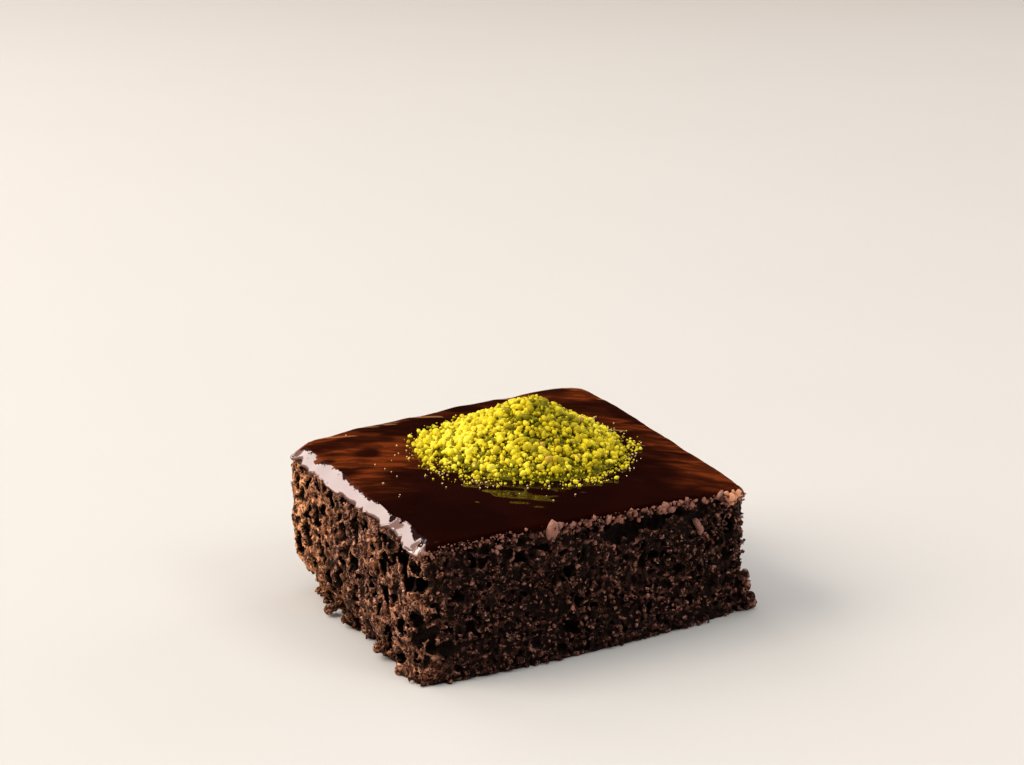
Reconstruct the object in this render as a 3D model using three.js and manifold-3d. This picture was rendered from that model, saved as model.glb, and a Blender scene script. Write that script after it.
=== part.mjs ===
// A square of wet chocolate cake, cut from a tray: an open crumb with four cut sides, chocolate sauce set
// over its top, and a low heap of ground pistachio in the middle.
//
// Millimetres, +Z up. The longest cut side faces -Y. The origin is at the middle of the footprint, on the
// surface that the cake stands on.

import * as THREE from "three";
import { mergeVertices } from "three/addons/utils/BufferGeometryUtils.js";
import Module from "manifold-3d";

// The four upright edges of the cake, anticlockwise from above: where each stands on the ground, where it
// is at belly height and where it meets the brim. The crumb has settled outwards at the foot of the front,
// and has broken away under the back left edge.
const CORNERS = [
  { foot: [-48.6, -39.9], belly: [-47.8, -38.5], brim: [-47.4, -37.9], round: 6 }, // front left
  { foot: [47.9, -38.0], belly: [46.9, -37.6], brim: [46.5, -37.3], round: 5 }, // front right
  { foot: [45.4, 41.4], belly: [45.0, 41.8], brim: [44.4, 42.0], round: 9 }, // back right
  { foot: [-43.0, 33.7], belly: [-48.8, 35.9], brim: [-48.5, 35.9], round: 7 }, // back left
];
const BELLY_HEIGHT = 12;
// How far each side bows out between its corners: front, right, back, left.
const BOW = { foot: [2.6, 0.5, 0.6, 0.0], belly: [1.1, 0.6, 0.9, 0.4], brim: [0.8, 0.4, 0.9, 0.3] };
const OUTLINE_POINTS = 80;

// The crumb's top, as the tray's dome left it: highest at the back right corner.
const MID_HEIGHT = 37.1;
const RISE_RIGHT = 0.004; // per millimetre to the right
const RISE_BACK = 0.0915; // per millimetre to the back
const TWIST = 0.0005; // per square millimetre, which lifts the back right corner
const HALF_WIDTH = 47;
const HALF_DEPTH = 40;
const EDGE_DROOP = 1.0; // how far the top falls away towards its edges
const CORNER_DROOP = 1.6; // and by how much more at its corners

// The cut sides of the crumb.
const WALL_LEVELS = 10;
const CRUMB_RELIEF = [-0.5, 0.9]; // how far the small unevenness lies inside the cut
const CRUMB_GRAIN = 3.4; // its size
const SIDE_WAVE = [-0.4, 0.4]; // and the same for the slow waves in the cut
const SIDE_WAVE_LENGTH = 15;
// Pits in the cut: the share of the relief's points that lie deep, for each side, and how deep.
const PITS = { front: 0.16, right: 0.18, back: 0.24, left: 0.32 };
const PIT_DEPTH = [1.0, 2.0];

// Open bubbles in the cut sides: coarse on the left and the back, fewer on the front and right.
const PORE_RADIUS = [1.3, 2.3];
const PORE_STRETCH = 1.3; // upwards
const PORE_TRIES = 125;
const PORE_SHARE = { front: 0.25, right: 0.35, back: 0.6, left: 1.0 };
const PORE_CLEAR_TOP = 0.8; // of the sauce's lip
const PORE_CLEAR_FOOT = 1.2; // of the ground

// Crumbs pressed out along the foot, and the one that stands out furthest, at the front right.
const FOOT_CRUMBS = 14;
const FOOT_CRUMB_RADIUS = [1.7, 2.6];
const FOOT_CRUMB_SUNK = 0.75; // as a share of its radius
const CORNER_CRUMB = { middle: [46.4, -36.2, 2.0], radius: 2.6 };

// The set sauce: a skin over the top that rounds over the brim, lies flush with the cut and ends in an
// uneven lip.
const GAP = 0.3; // between pieces that touch
const SAUCE = 1.2; // thickness on the top
const SAUCE_SIDE = 0.6; // thickness where it turns down
const RUN = { front: 0.1, right: 0.9, back: 1.0, left: 0.9 }; // how far it runs down each side
const RUN_UNEVEN = 0.8; // as a share of that run
const RUN_LENGTH = 6.5; // spacing of the uneven runs
const SHOULDER = { front: 1.2, right: 3.0, back: 3.0, left: 3.6 }; // width of the rounding at the brim
const DROP = { front: -0.5, right: 1.3, back: 0.8, left: 1.3 }; // how far the crumb falls away in it
const RIPPLE = 0.25;
const RIPPLE_LENGTH = 9;

// The heap of ground pistachio, an oval turned about the vertical.
const HEAP_MIDDLE = [3.7, 3.1];
const HEAP_HALF_LENGTH = 26.8;
const HEAP_HALF_DEPTH = 23.6;
const HEAP_TURN = -0.52; // radians
const HEAP_HEIGHT = 12.2;
const HEAP_LEAN = 1.6; // how far its top lies from its middle, along the length
const HEAP_ROUND = 0.2; // how round its top is, as a share of its reach
const HEAP_EDGE = 0.8; // height of the heap at its edge
const HEAP_SECTORS = 44;
const HEAP_RINGS = 10;
const HEAP_RAGGED = 0.08; // unevenness of its edge, as a share of its reach
const HEAP_BUMP = 0.6;
const HEAP_BUMP_SIZE = 2.6;
const NUT_RADIUS = [0.8, 1.35];
const HEAP_NUTS = 82;
const LOOSE_NUTS = 64;
const LOOSE_REACH = [1.1, 1.3]; // where the loose bits lie, in half lengths of the heap
const LOOSE_CLEAR = 5; // how far they keep from the brim

const COLOURS = {
  crumb: { color: 0x3a2019, roughness: 0.78, metalness: 0 },
  sauce: { color: 0x2a0d07, roughness: 0.14, metalness: 0 },
  pistachio: { color: 0xb9b52c, roughness: 0.72, metalness: 0 },
};

const wasm = await Module();
wasm.setup();

// A seeded draw of numbers from 0 to 1.
function drawer(seed) {
  let state = seed >>> 0;
  return () => {
    state = (state + 0x6d2b79f5) >>> 0;
    let mixed = Math.imul(state ^ (state >>> 15), 1 | state);
    mixed = (mixed + Math.imul(mixed ^ (mixed >>> 7), 61 | mixed)) ^ mixed;
    return ((mixed ^ (mixed >>> 14)) >>> 0) / 4294967296;
  };
}

const { lerp, smoothstep, clamp } = THREE.MathUtils;
const between = (draw, [low, high]) => lerp(low, high, draw());

// The value of a lattice point, from 0 to 1.
function lattice(i, j, k) {
  let h = Math.imul(i, 374761393) ^ Math.imul(j, 668265263) ^ Math.imul(k, 873357521);
  h = Math.imul(h ^ (h >>> 13), 1274126177);
  return ((h ^ (h >>> 16)) >>> 0) / 4294967295;
}

// Smooth noise from 0 to 1, whose lumps are about `size` apart.
function noise(x, y, z, size) {
  const [fx, fy, fz] = [x / size, y / size, z / size];
  const [ix, iy, iz] = [Math.floor(fx), Math.floor(fy), Math.floor(fz)];
  const [tx, ty, tz] = [smoothstep(fx - ix, 0, 1), smoothstep(fy - iy, 0, 1), smoothstep(fz - iz, 0, 1)];
  const row = (j, k) => lerp(lattice(ix, j, k), lattice(ix + 1, j, k), tx);
  const face = (k) => lerp(row(iy, k), row(iy + 1, k), ty);
  return lerp(face(iz), face(iz + 1), tz);
}

// The height of the crumb's top.
function topHeight(x, y) {
  const across = Math.min(1, Math.abs(x) / HALF_WIDTH);
  const along = Math.min(1, Math.abs(y) / HALF_DEPTH);
  const edge = Math.max(across, along) ** 5;
  const corner = (across * along) ** 5;
  const slope = MID_HEIGHT + RISE_RIGHT * x + RISE_BACK * y + TWIST * x * y;
  return slope - EDGE_DROOP * edge - CORNER_DROOP * corner;
}

// The outline at one level, with round corners and bowed sides.
function outline(level) {
  const corners = CORNERS.map((corner) => new THREE.Vector2(...corner[level]));
  const towards = (i, j) => {
    const share = CORNERS[i].round / corners[i].distanceTo(corners[j]);
    return corners[i].clone().lerp(corners[j], share);
  };
  const path = new THREE.Path();
  path.moveTo(...towards(0, 3));
  corners.forEach((corner, i) => {
    const next = (i + 1) % 4;
    const [leave, arrive] = [towards(i, next), towards(next, i)];
    const middle = leave.clone().add(arrive).multiplyScalar(0.5);
    const out = new THREE.Vector2(arrive.y - leave.y, leave.x - arrive.x).normalize();
    const bend = middle.addScaledVector(out, 2 * BOW[level][i]);
    path.quadraticCurveTo(corner.x, corner.y, leave.x, leave.y);
    path.quadraticCurveTo(bend.x, bend.y, arrive.x, arrive.y);
  });
  return path.getSpacedPoints(OUTLINE_POINTS).slice(0, OUTLINE_POINTS);
}

// The outward direction at each point of an outline.
function outwards(points) {
  return points.map((_, i) => {
    const before = points[(i + points.length - 1) % points.length];
    const after = points[(i + 1) % points.length];
    return new THREE.Vector2(after.y - before.y, before.x - after.x).normalize();
  });
}

// A value given for each of the four sides, blended by an outward direction.
function bySide({ front, right, back, left }, { x, y }) {
  return (x > 0 ? right : left) * x ** 2 + (y > 0 ? back : front) * y ** 2;
}

const FOOT = outline("foot");
const BELLY = outline("belly");
const BRIM = outline("brim");
const BRIM_OUT = outwards(BRIM);
const BRIM_SHOULDER = BRIM_OUT.map((out) => bySide(SHOULDER, out));
const BRIM_LEVEL = BRIM.map(({ x, y }) => topHeight(x, y)); // the top carried out level to the brim
const BRIM_HEIGHT = BRIM_LEVEL.map((level, i) => level - bySide(DROP, BRIM_OUT[i]));

// How far the sauce runs down below the brim at each point of the outline.
const RUNS = BRIM.map(({ x, y }, i) => {
  const uneven = lerp(1 - RUN_UNEVEN, 1 + RUN_UNEVEN, noise(x, y, 9, RUN_LENGTH));
  return bySide(RUN, BRIM_OUT[i]) * uneven;
});

// A closed surface from a stack of rings with equally many points, listed from the lowest middle point,
// out and up the outside, to the highest middle point.
function loft(bottomPoint, rings, topPoint) {
  const count = rings[0].length;
  const points = [bottomPoint, ...rings.flat(), topPoint];
  const index = [];
  const at = (ring, i) => 1 + ring * count + (i % count);
  for (let i = 0; i < count; i++) {
    index.push(0, at(0, i + 1), at(0, i));
    index.push(points.length - 1, at(rings.length - 1, i), at(rings.length - 1, i + 1));
    for (let ring = 0; ring + 1 < rings.length; ring++) {
      const [a, b, c, d] = [at(ring, i), at(ring, i + 1), at(ring + 1, i + 1), at(ring + 1, i)];
      index.push(...((ring + i) % 2 ? [a, b, c, a, c, d] : [a, b, d, b, c, d]));
    }
  }
  return new THREE.BufferGeometry().setFromPoints(points).setIndex(index);
}

function solidOf(geometry) {
  const bare = geometry.clone();
  bare.deleteAttribute("normal");
  bare.deleteAttribute("uv");
  const merged = mergeVertices(bare, 1e-4);
  return new wasm.Manifold(
    new wasm.Mesh({
      numProp: 3,
      vertProperties: merged.attributes.position.array,
      triVerts: new Uint32Array(merged.index.array),
    }),
  );
}

const joined = (solids) => solids.reduce((whole, solid) => whole.add(solid));

// The largest body of a solid, without the scraps that a cut leaves.
function largestBody(solid) {
  return solid.decompose().reduce((best, body) => (body.volume() > best.volume() ? body : best));
}

function meshOf(name, solid, look) {
  const { vertProperties, triVerts } = solid.getMesh();
  const geometry = new THREE.BufferGeometry();
  geometry.setAttribute("position", new THREE.BufferAttribute(vertProperties, 3));
  geometry.setIndex(new THREE.BufferAttribute(triVerts, 1));
  geometry.computeVertexNormals();
  const mesh = new THREE.Mesh(geometry, new THREE.MeshStandardMaterial(look));
  mesh.name = name;
  return mesh;
}

// A lump with twenty faces, uneven in its three widths and turned at random.
function lump(draw, middle, radius, stretch = 1) {
  const geometry = new THREE.IcosahedronGeometry(radius, 0);
  geometry.scale(lerp(0.8, 1.15, draw()), lerp(0.8, 1.15, draw()), lerp(0.8, 1.1, draw()));
  geometry.rotateX(draw() * Math.PI);
  geometry.rotateZ(draw() * Math.PI);
  geometry.scale(1, 1, stretch);
  geometry.translate(...middle);
  return solidOf(geometry);
}

// The straight cut at height z, at a point of the outline.
function cutPoint(i, z) {
  if (z < BELLY_HEIGHT) return FOOT[i].clone().lerp(BELLY[i], smoothstep(z, 0, BELLY_HEIGHT));
  return BELLY[i].clone().lerp(BRIM[i], (z - BELLY_HEIGHT) / (BRIM_HEIGHT[i] - BELLY_HEIGHT));
}

// How far the crumb lies inside the straight cut.
function reliefAt({ x, y }, z) {
  return (
    lerp(...SIDE_WAVE, noise(x, y, z, SIDE_WAVE_LENGTH)) + lerp(...CRUMB_RELIEF, noise(x, y, z, CRUMB_GRAIN))
  );
}

// The height at which the crumb steps back to make room for the sauce.
const ledgeHeight = (i) => BRIM_HEIGHT[i] - RUNS[i] - GAP;

// A ring inside the brim, by how far in from it and how high each point lies.
function rimRing(depth, height) {
  return BRIM.map((point, i) => {
    const { x, y } = point.clone().addScaledVector(BRIM_OUT[i], -depth(i));
    return new THREE.Vector3(x, y, height(i));
  });
}

// A ring of the level top, at `share` of the way from its middle to the brim.
function topRing(share, height) {
  return BRIM.map(({ x, y }) => new THREE.Vector3(x * share, y * share, height(x * share, y * share)));
}

// How far the crumb or the sauce's underside has risen at `share` of the way in over the shoulder.
const shoulderRise = (i, share) => lerp(BRIM_HEIGHT[i], BRIM_LEVEL[i], share);

function spongeBlock() {
  const draw = drawer(3);
  const rings = [];
  for (let level = 0; level <= WALL_LEVELS; level++) {
    rings.push(
      BRIM.map((_, i) => {
        const z = (level / WALL_LEVELS) * ledgeHeight(i);
        const cut = cutPoint(i, z);
        const pitted = draw() < bySide(PITS, BRIM_OUT[i]) && level > 0 && level < WALL_LEVELS;
        const depth = reliefAt(cut, z) + (pitted ? between(draw, PIT_DEPTH) : 0);
        const { x, y } = cut.clone().addScaledVector(BRIM_OUT[i], -depth);
        return new THREE.Vector3(x, y, z);
      }),
    );
  }
  const step = GAP + SAUCE_SIDE + 0.6;
  rings.push(
    rimRing(() => step, ledgeHeight),
    rimRing(() => step, (i) => shoulderRise(i, 0.3) - 0.1),
    rimRing((i) => step + BRIM_SHOULDER[i], (i) => BRIM_LEVEL[i]),
    topRing(0.8, topHeight),
    topRing(0.4, topHeight),
  );
  return solidOf(loft(new THREE.Vector3(), rings, new THREE.Vector3(0, 0, topHeight(0, 0))));
}

// Open bubbles, each a lump cut into the side where it lies.
function pores() {
  const draw = drawer(41);
  const cuts = [];
  for (let n = 0; n < PORE_TRIES; n++) {
    const i = Math.floor(draw() * OUTLINE_POINTS);
    const radius = between(draw, PORE_RADIUS);
    const z = draw() * BRIM_HEIGHT[i];
    const chosen = draw() < bySide(PORE_SHARE, BRIM_OUT[i]);
    const tall = radius * PORE_STRETCH;
    if (!chosen || z > ledgeHeight(i) - PORE_CLEAR_TOP - tall || z < PORE_CLEAR_FOOT + tall) continue;
    const { x, y } = cutPoint(i, z).addScaledVector(BRIM_OUT[i], -0.7 * radius);
    cuts.push(lump(draw, [x, y, z], radius, PORE_STRETCH));
  }
  return joined(cuts);
}

// Crumbs along the foot, each standing on the ground with a flat underside.
function footCrumbs() {
  const draw = drawer(7);
  const crumbs = [lump(draw, CORNER_CRUMB.middle, CORNER_CRUMB.radius)];
  for (let n = 0; n < FOOT_CRUMBS; n++) {
    const i = Math.floor(((n + 0.8 * draw()) / FOOT_CRUMBS) * OUTLINE_POINTS);
    const radius = between(draw, FOOT_CRUMB_RADIUS);
    const middle = FOOT[i].clone().addScaledVector(BRIM_OUT[i], -FOOT_CRUMB_SUNK * radius);
    crumbs.push(lump(draw, [middle.x, middle.y, 0.55 * radius], radius));
  }
  return joined(crumbs);
}

// Everything below the ground, to cut the foot crumbs off level.
function underGround() {
  const depth = 10;
  const geometry = new THREE.BoxGeometry(4 * HALF_WIDTH, 4 * HALF_DEPTH, depth);
  geometry.translate(0, 0, -depth / 2);
  return solidOf(geometry);
}

function sponge() {
  const whole = spongeBlock().subtract(pores()).add(footCrumbs()).subtract(underGround());
  return largestBody(whole);
}

// Where a point lies on the heap: 0 at its middle and 1 at its edge.
function heapReach(x, y) {
  const [dx, dy] = [x - HEAP_MIDDLE[0], y - HEAP_MIDDLE[1]];
  const along = dx * Math.cos(HEAP_TURN) + dy * Math.sin(HEAP_TURN);
  const across = dy * Math.cos(HEAP_TURN) - dx * Math.sin(HEAP_TURN);
  return Math.hypot(along / HEAP_HALF_LENGTH, across / HEAP_HALF_DEPTH);
}

// The top of the sauce away from the brim, calm under the heap.
function sauceTop(x, y) {
  const stir = smoothstep(heapReach(x, y), 1.05, 1.3);
  return topHeight(x, y) + GAP + SAUCE + RIPPLE * stir * (2 * noise(x, y, 0, RIPPLE_LENGTH) - 1);
}

function sauceSkin() {
  const under = (x, y) => topHeight(x, y) + GAP;
  const lip = (i) => BRIM_HEIGHT[i] - RUNS[i];
  const levelTop = (i) => BRIM_LEVEL[i] + GAP + SAUCE;
  const roundTop = (share) => (i) => lerp(BRIM_HEIGHT[i] + 0.3 * SAUCE, levelTop(i), share);
  const rings = [
    topRing(0.4, under),
    topRing(0.8, under),
    rimRing((i) => 1 + BRIM_SHOULDER[i], (i) => BRIM_LEVEL[i] + GAP),
    rimRing(() => SAUCE_SIDE, (i) => shoulderRise(i, 0.25) + 0.1),
    rimRing(() => SAUCE_SIDE, lip),
    rimRing(() => 0, lip),
    rimRing(() => 0, roundTop(0)),
    rimRing((i) => 0.25 * BRIM_SHOULDER[i], roundTop(0.62)),
    rimRing((i) => 0.6 * BRIM_SHOULDER[i], roundTop(0.9)),
    rimRing((i) => BRIM_SHOULDER[i], roundTop(1)),
    topRing(0.84, sauceTop),
    topRing(0.7, sauceTop),
    topRing(0.4, sauceTop),
  ];
  const low = new THREE.Vector3(0, 0, under(0, 0));
  const high = new THREE.Vector3(0, 0, sauceTop(0, 0));
  return solidOf(loft(low, rings, high));
}

// A point of the heap's plan, at `reach` half lengths from its middle.
function heapPlan(angle, reach) {
  const lean = HEAP_LEAN * Math.max(0, 1 - reach);
  const along = HEAP_HALF_LENGTH * reach * Math.cos(angle) + lean;
  const across = HEAP_HALF_DEPTH * reach * Math.sin(angle);
  return [
    HEAP_MIDDLE[0] + along * Math.cos(HEAP_TURN) - across * Math.sin(HEAP_TURN),
    HEAP_MIDDLE[1] + along * Math.sin(HEAP_TURN) + across * Math.cos(HEAP_TURN),
  ];
}

// The bits that lie apart from the heap, in drifts, set in the sauce that carries them.
function looseNuts() {
  const draw = drawer(23);
  const nuts = [];
  for (let n = 0; n < LOOSE_NUTS; n++) {
    const angle = draw() * 2 * Math.PI;
    const far = draw() ** 2;
    const [x, y] = heapPlan(angle, lerp(...LOOSE_REACH, far));
    const radius = between(draw, NUT_RADIUS);
    const drift = noise(3 * Math.cos(angle), 3 * Math.sin(angle), 8, 1.1) > 0.3 + 0.4 * draw();
    const level = Math.abs(x) < HALF_WIDTH - LOOSE_CLEAR && Math.abs(y) < HALF_DEPTH - LOOSE_CLEAR;
    if (drift && level) nuts.push(lump(draw, [x, y, sauceTop(x, y) + 0.35 * radius], radius));
  }
  return nuts;
}

const sauce = () => joined([sauceSkin(), ...looseNuts()]);

// The height of the heap above the sauce, a cone with a round top.
function heapHeight(reach) {
  const fall = (Math.hypot(reach, HEAP_ROUND) - HEAP_ROUND) / (Math.hypot(1, HEAP_ROUND) - HEAP_ROUND);
  return lerp(HEAP_HEIGHT, HEAP_EDGE, clamp(fall, 0, 1));
}

const heapFoot = (x, y) => topHeight(x, y) + GAP + SAUCE + GAP;

// The heap's own slope, covered in bumps as large as its bits.
function heapCore() {
  const ring = (reach, height) =>
    Array.from({ length: HEAP_SECTORS }, (_, i) => {
      const angle = (i / HEAP_SECTORS) * 2 * Math.PI;
      const ragged = 1 - HEAP_RAGGED * noise(7 * Math.cos(angle), 7 * Math.sin(angle), 3, 1.2) * reach;
      const [x, y] = heapPlan(angle, reach * ragged);
      return new THREE.Vector3(x, y, heapFoot(x, y) + height(x, y));
    });
  const bump = (x, y) => HEAP_BUMP * (2 * noise(x, y, 5, HEAP_BUMP_SIZE) - 1);
  const rings = [0.5, 1].map((reach) => ring(reach, () => 0));
  for (let k = HEAP_RINGS; k > 0; k--) {
    const reach = (k / HEAP_RINGS) ** 0.9;
    const rough = k === HEAP_RINGS ? 0 : 1;
    rings.push(ring(reach, (x, y) => heapHeight(reach) + rough * bump(x, y)));
  }
  const [x, y] = heapPlan(0, 0);
  const foot = heapFoot(x, y);
  return solidOf(loft(new THREE.Vector3(x, y, foot), rings, new THREE.Vector3(x, y, foot + HEAP_HEIGHT)));
}

// The larger bits, spread evenly over the heap by the golden angle.
function heapNuts() {
  const draw = drawer(5);
  const goldenAngle = Math.PI * (3 - Math.sqrt(5));
  return Array.from({ length: HEAP_NUTS }, (_, n) => {
    const reach = 0.95 * Math.sqrt((n + 0.5) / HEAP_NUTS);
    const [x, y] = heapPlan(n * goldenAngle + 0.5 * draw(), reach);
    const radius = between(draw, NUT_RADIUS);
    return lump(draw, [x, y, heapFoot(x, y) + Math.max(1.2 * radius, heapHeight(reach))], radius);
  });
}

const heap = () => joined([heapCore(), ...heapNuts()]);

const cake = new THREE.Group();
cake.add(
  meshOf("sponge", sponge(), COLOURS.crumb),
  meshOf("chocolate_sauce", sauce(), COLOURS.sauce),
  meshOf("pistachio_heap", heap(), COLOURS.pistachio),
);

export default cake;
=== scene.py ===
"""A square of wet chocolate cake: open crumb, glossy chocolate sauce and a heap of ground pistachio.

Every length in the code below is in millimetres until a mesh is made, which is in metres. The outline,
the heights and the heap closely follow the model's solids.
"""

import itertools
import math

import bmesh
import bpy
import numpy as np
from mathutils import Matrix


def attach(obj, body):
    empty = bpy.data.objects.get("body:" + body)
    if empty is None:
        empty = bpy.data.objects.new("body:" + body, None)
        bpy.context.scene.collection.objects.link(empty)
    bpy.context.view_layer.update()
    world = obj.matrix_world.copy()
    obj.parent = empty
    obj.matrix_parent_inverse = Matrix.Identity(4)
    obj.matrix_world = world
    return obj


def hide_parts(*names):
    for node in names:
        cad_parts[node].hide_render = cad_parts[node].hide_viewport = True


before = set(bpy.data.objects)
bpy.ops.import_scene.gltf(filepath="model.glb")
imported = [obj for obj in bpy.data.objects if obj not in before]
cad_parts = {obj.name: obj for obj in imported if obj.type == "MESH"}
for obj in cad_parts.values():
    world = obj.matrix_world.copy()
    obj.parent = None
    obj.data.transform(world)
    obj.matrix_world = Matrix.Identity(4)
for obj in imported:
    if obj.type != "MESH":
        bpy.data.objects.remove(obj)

import openvdb
from bpy.props import FloatProperty, FloatVectorProperty, IntProperty, PointerProperty
from mathutils import Vector

bl_info = {
    "name": "Wet chocolate cake",
    "version": (1, 0, 0),
    "blender": (4, 5, 0),
    "location": "View3D > Sidebar > Cake",
    "description": "Builds a square of wet chocolate cake with sauce and ground pistachio",
    "category": "Add Mesh",
}

MM = 0.001
GOLDEN_ANGLE = math.pi * (3 - math.sqrt(5))
MOST_TRIANGLES = 190000

# Front left, front right, back right and back left edges of the block.
FOOT = [(-48.6, -39.9), (47.9, -38.0), (45.4, 41.4), (-43.0, 33.7)]
BELLY = [(-47.8, -38.5), (46.9, -37.6), (45.0, 41.8), (-48.8, 35.9)]
BRIM = [(-47.4, -37.9), (46.5, -37.3), (44.4, 42.0), (-48.5, 35.9)]
ROUND = [3.5, 5.0, 9.0, 7.0]
BOW_FOOT, BOW_BELLY, BOW_BRIM = (2.6, 0.5, 0.6, 0.0), (1.1, 0.6, 0.9, 0.4), (0.8, 0.4, 0.9, 0.3)
BELLY_HEIGHT = 12.0

# How far the heap's long way and the sauce's ripples are turned from the front, in radians.
TURN = -0.52

# Values for the front, right, back and left sides: the width of the brim's rounding and its fall.
SIDES = ("front", "right", "back", "left")
SHOULDER = (1.2, 2.8, 2.8, 3.3)
DROP = (-0.5, 1.3, 0.8, 1.3)

# The number of brim points that the sauce's rings follow.
EDGE_POINTS = 1600

RANGE_SOCKETS = ("From Min", "From Max", "To Min", "To Max")
NOISE_CELLS = 64
NOISE_TABLE = np.random.default_rng(7).random((NOISE_CELLS,) * 3, dtype=np.float32)


def ease(t):
    """Goes smoothly from 0 to 1, and stays level outside them."""
    t = np.clip(t, 0, 1)
    return t * t * (3 - 2 * t)


def noise(x, y, z, size, seed=0):
    """Smooth noise from 0 to 1, whose lumps are about `size` apart."""
    x, y, z = np.broadcast_arrays(*(np.asarray(values, np.float32) for values in (x, y, z)))
    cells, shares = [], []
    for values, shift in ((x, 11), (y, 23), (z, 37)):
        scaled = values / size + 3.7 * seed + 0.37
        cell = np.floor(scaled)
        cells.append((cell.astype(np.int32) + shift * (seed + 1)) & (NOISE_CELLS - 1))
        shares.append(ease(scaled - cell))
    total = 0
    for dx in (0, 1):
        wx = shares[0] if dx else 1 - shares[0]
        ix = (cells[0] + dx) & (NOISE_CELLS - 1)
        for dy in (0, 1):
            wy = wx * (shares[1] if dy else 1 - shares[1])
            iy = (cells[1] + dy) & (NOISE_CELLS - 1)
            for dz in (0, 1):
                iz = (cells[2] + dz) & (NOISE_CELLS - 1)
                total = total + wy * (shares[2] if dz else 1 - shares[2]) * NOISE_TABLE[ix, iy, iz]
    return total


def rough(x, y, z, *layers):
    """Layers of noise, each with its height, size and seed, and the value that counts as level."""
    return sum(high * (noise(x, y, z, size, seed) - level) for high, size, seed, level in layers)


def cells(x, y, z, size, seed):
    """Uneven cells about `size` apart, like the bubbles of a foam.

    Gives for each place how far off its cell's wall and middle are, a number from 0 to 1 for the cell,
    and where that middle lies.
    """
    scaled = [values / size for values in (x, y, z)]
    base = [np.floor(values).astype(np.int32) for values in scaled]
    nearest = np.full(x.shape, 1e9, np.float32)
    second = nearest.copy()
    pick = np.zeros_like(nearest)
    middle = [np.zeros_like(nearest) for _ in range(3)]
    for step in itertools.product((-1, 0, 1), repeat=3):
        cell = [start + move for start, move in zip(base, step)]
        i, j, k = ((c + shift * (seed + 1)) & (NOISE_CELLS - 1) for c, shift in zip(cell, (11, 23, 37)))
        spot = [
            cell[0] + 0.1 + 0.8 * NOISE_TABLE[i, j, k],
            cell[1] + 0.1 + 0.8 * NOISE_TABLE[j, k, i],
            cell[2] + 0.1 + 0.8 * NOISE_TABLE[k, i, j],
        ]
        away = np.sqrt(sum((there - here) ** 2 for there, here in zip(spot, scaled)), dtype=np.float32)
        closer = away < nearest
        second = np.where(closer, nearest, np.minimum(second, away))
        nearest = np.where(closer, away, nearest)
        pick = np.where(closer, NOISE_TABLE[i, k, j], pick)
        middle = [np.where(closer, there, before) for there, before in zip(spot, middle)]
    return (second - nearest) * size / 2, nearest * size, pick, [values * size for values in middle]


def by_side(values, nx, ny):
    """One of four values, blended by an outward direction."""
    front, right, back, left = values
    return np.where(nx > 0, right, left) * nx**2 + np.where(ny > 0, back, front) * ny**2


def outline(corners, bows, count):
    """Evenly spaced points on the rounded, bowed outline."""
    corners = np.array(corners)
    points = []

    def curve(a, b, c, steps):
        t = np.linspace(0, 1, steps, endpoint=False)[:, None]
        points.extend((1 - t) ** 2 * a + 2 * t * (1 - t) * b + t * t * c)

    def towards(i, j):
        return corners[i] + (corners[j] - corners[i]) * ROUND[i] / np.linalg.norm(corners[j] - corners[i])

    for i in range(4):
        before, after = (i + 3) % 4, (i + 1) % 4
        curve(towards(i, before), corners[i], towards(i, after), 12)
        leave, arrive = towards(i, after), towards(after, i)
        out = np.array([arrive[1] - leave[1], leave[0] - arrive[0]])
        bend = (leave + arrive) / 2 + out / np.linalg.norm(out) * 2 * bows[i]
        curve(leave, bend, arrive, 24)
    points = np.array(points + [points[0]])
    along = np.concatenate([[0], np.cumsum(np.linalg.norm(np.diff(points, axis=0), axis=1))])
    at = np.linspace(0, along[-1], count, endpoint=False)
    return np.stack([np.interp(at, along, points[:, k]) for k in (0, 1)], 1)


def outwards(points):
    """The outward direction at each point of an outline."""
    step = np.roll(points, -1, 0) - np.roll(points, 1, 0)
    out = np.stack([step[:, 1], -step[:, 0]], 1)
    return out / np.linalg.norm(out, axis=1, keepdims=True)


def inside_distance(points, x, y):
    """How far a place lies outside the outline, below 0 inside it, and the nearest outward direction."""
    x, y = np.broadcast_arrays(x, y)
    best = np.full(x.shape, -1e9, np.float32)
    nx, ny = np.zeros_like(best), np.zeros_like(best)
    edge = np.roll(points, -1, 0) - points
    for (px, py), (ex, ey) in zip(points, edge):
        length = math.hypot(ex, ey)
        ax, ay = ey / length, -ex / length
        off = ax * (x - px) + ay * (y - py)
        nearer = off > best
        best = np.where(nearer, off, best)
        nx, ny = np.where(nearer, ax, nx), np.where(nearer, ay, ny)
    return best, nx, ny


def brim_distance(x, y, count=96):
    return inside_distance(outline(BRIM, BOW_BRIM, count), x, y)


def top_height(x, y):
    """The height of the crumb's top, carried out level to the brim."""
    across, along = np.minimum(1, np.abs(x) / 47), np.minimum(1, np.abs(y) / 40)
    slope = 37.1 + 0.004 * x + 0.0915 * y + 0.0005 * x * y
    return slope - np.maximum(across, along) ** 5 - 1.6 * (across * along) ** 5


def show(name, mesh, material, smooth):
    """Puts a mesh into the scene."""
    mesh.polygons.foreach_set("use_smooth", np.full(len(mesh.polygons), smooth))
    mesh.materials.append(material)
    obj = bpy.data.objects.new(name, mesh)
    bpy.context.scene.collection.objects.link(obj)
    return obj


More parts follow.
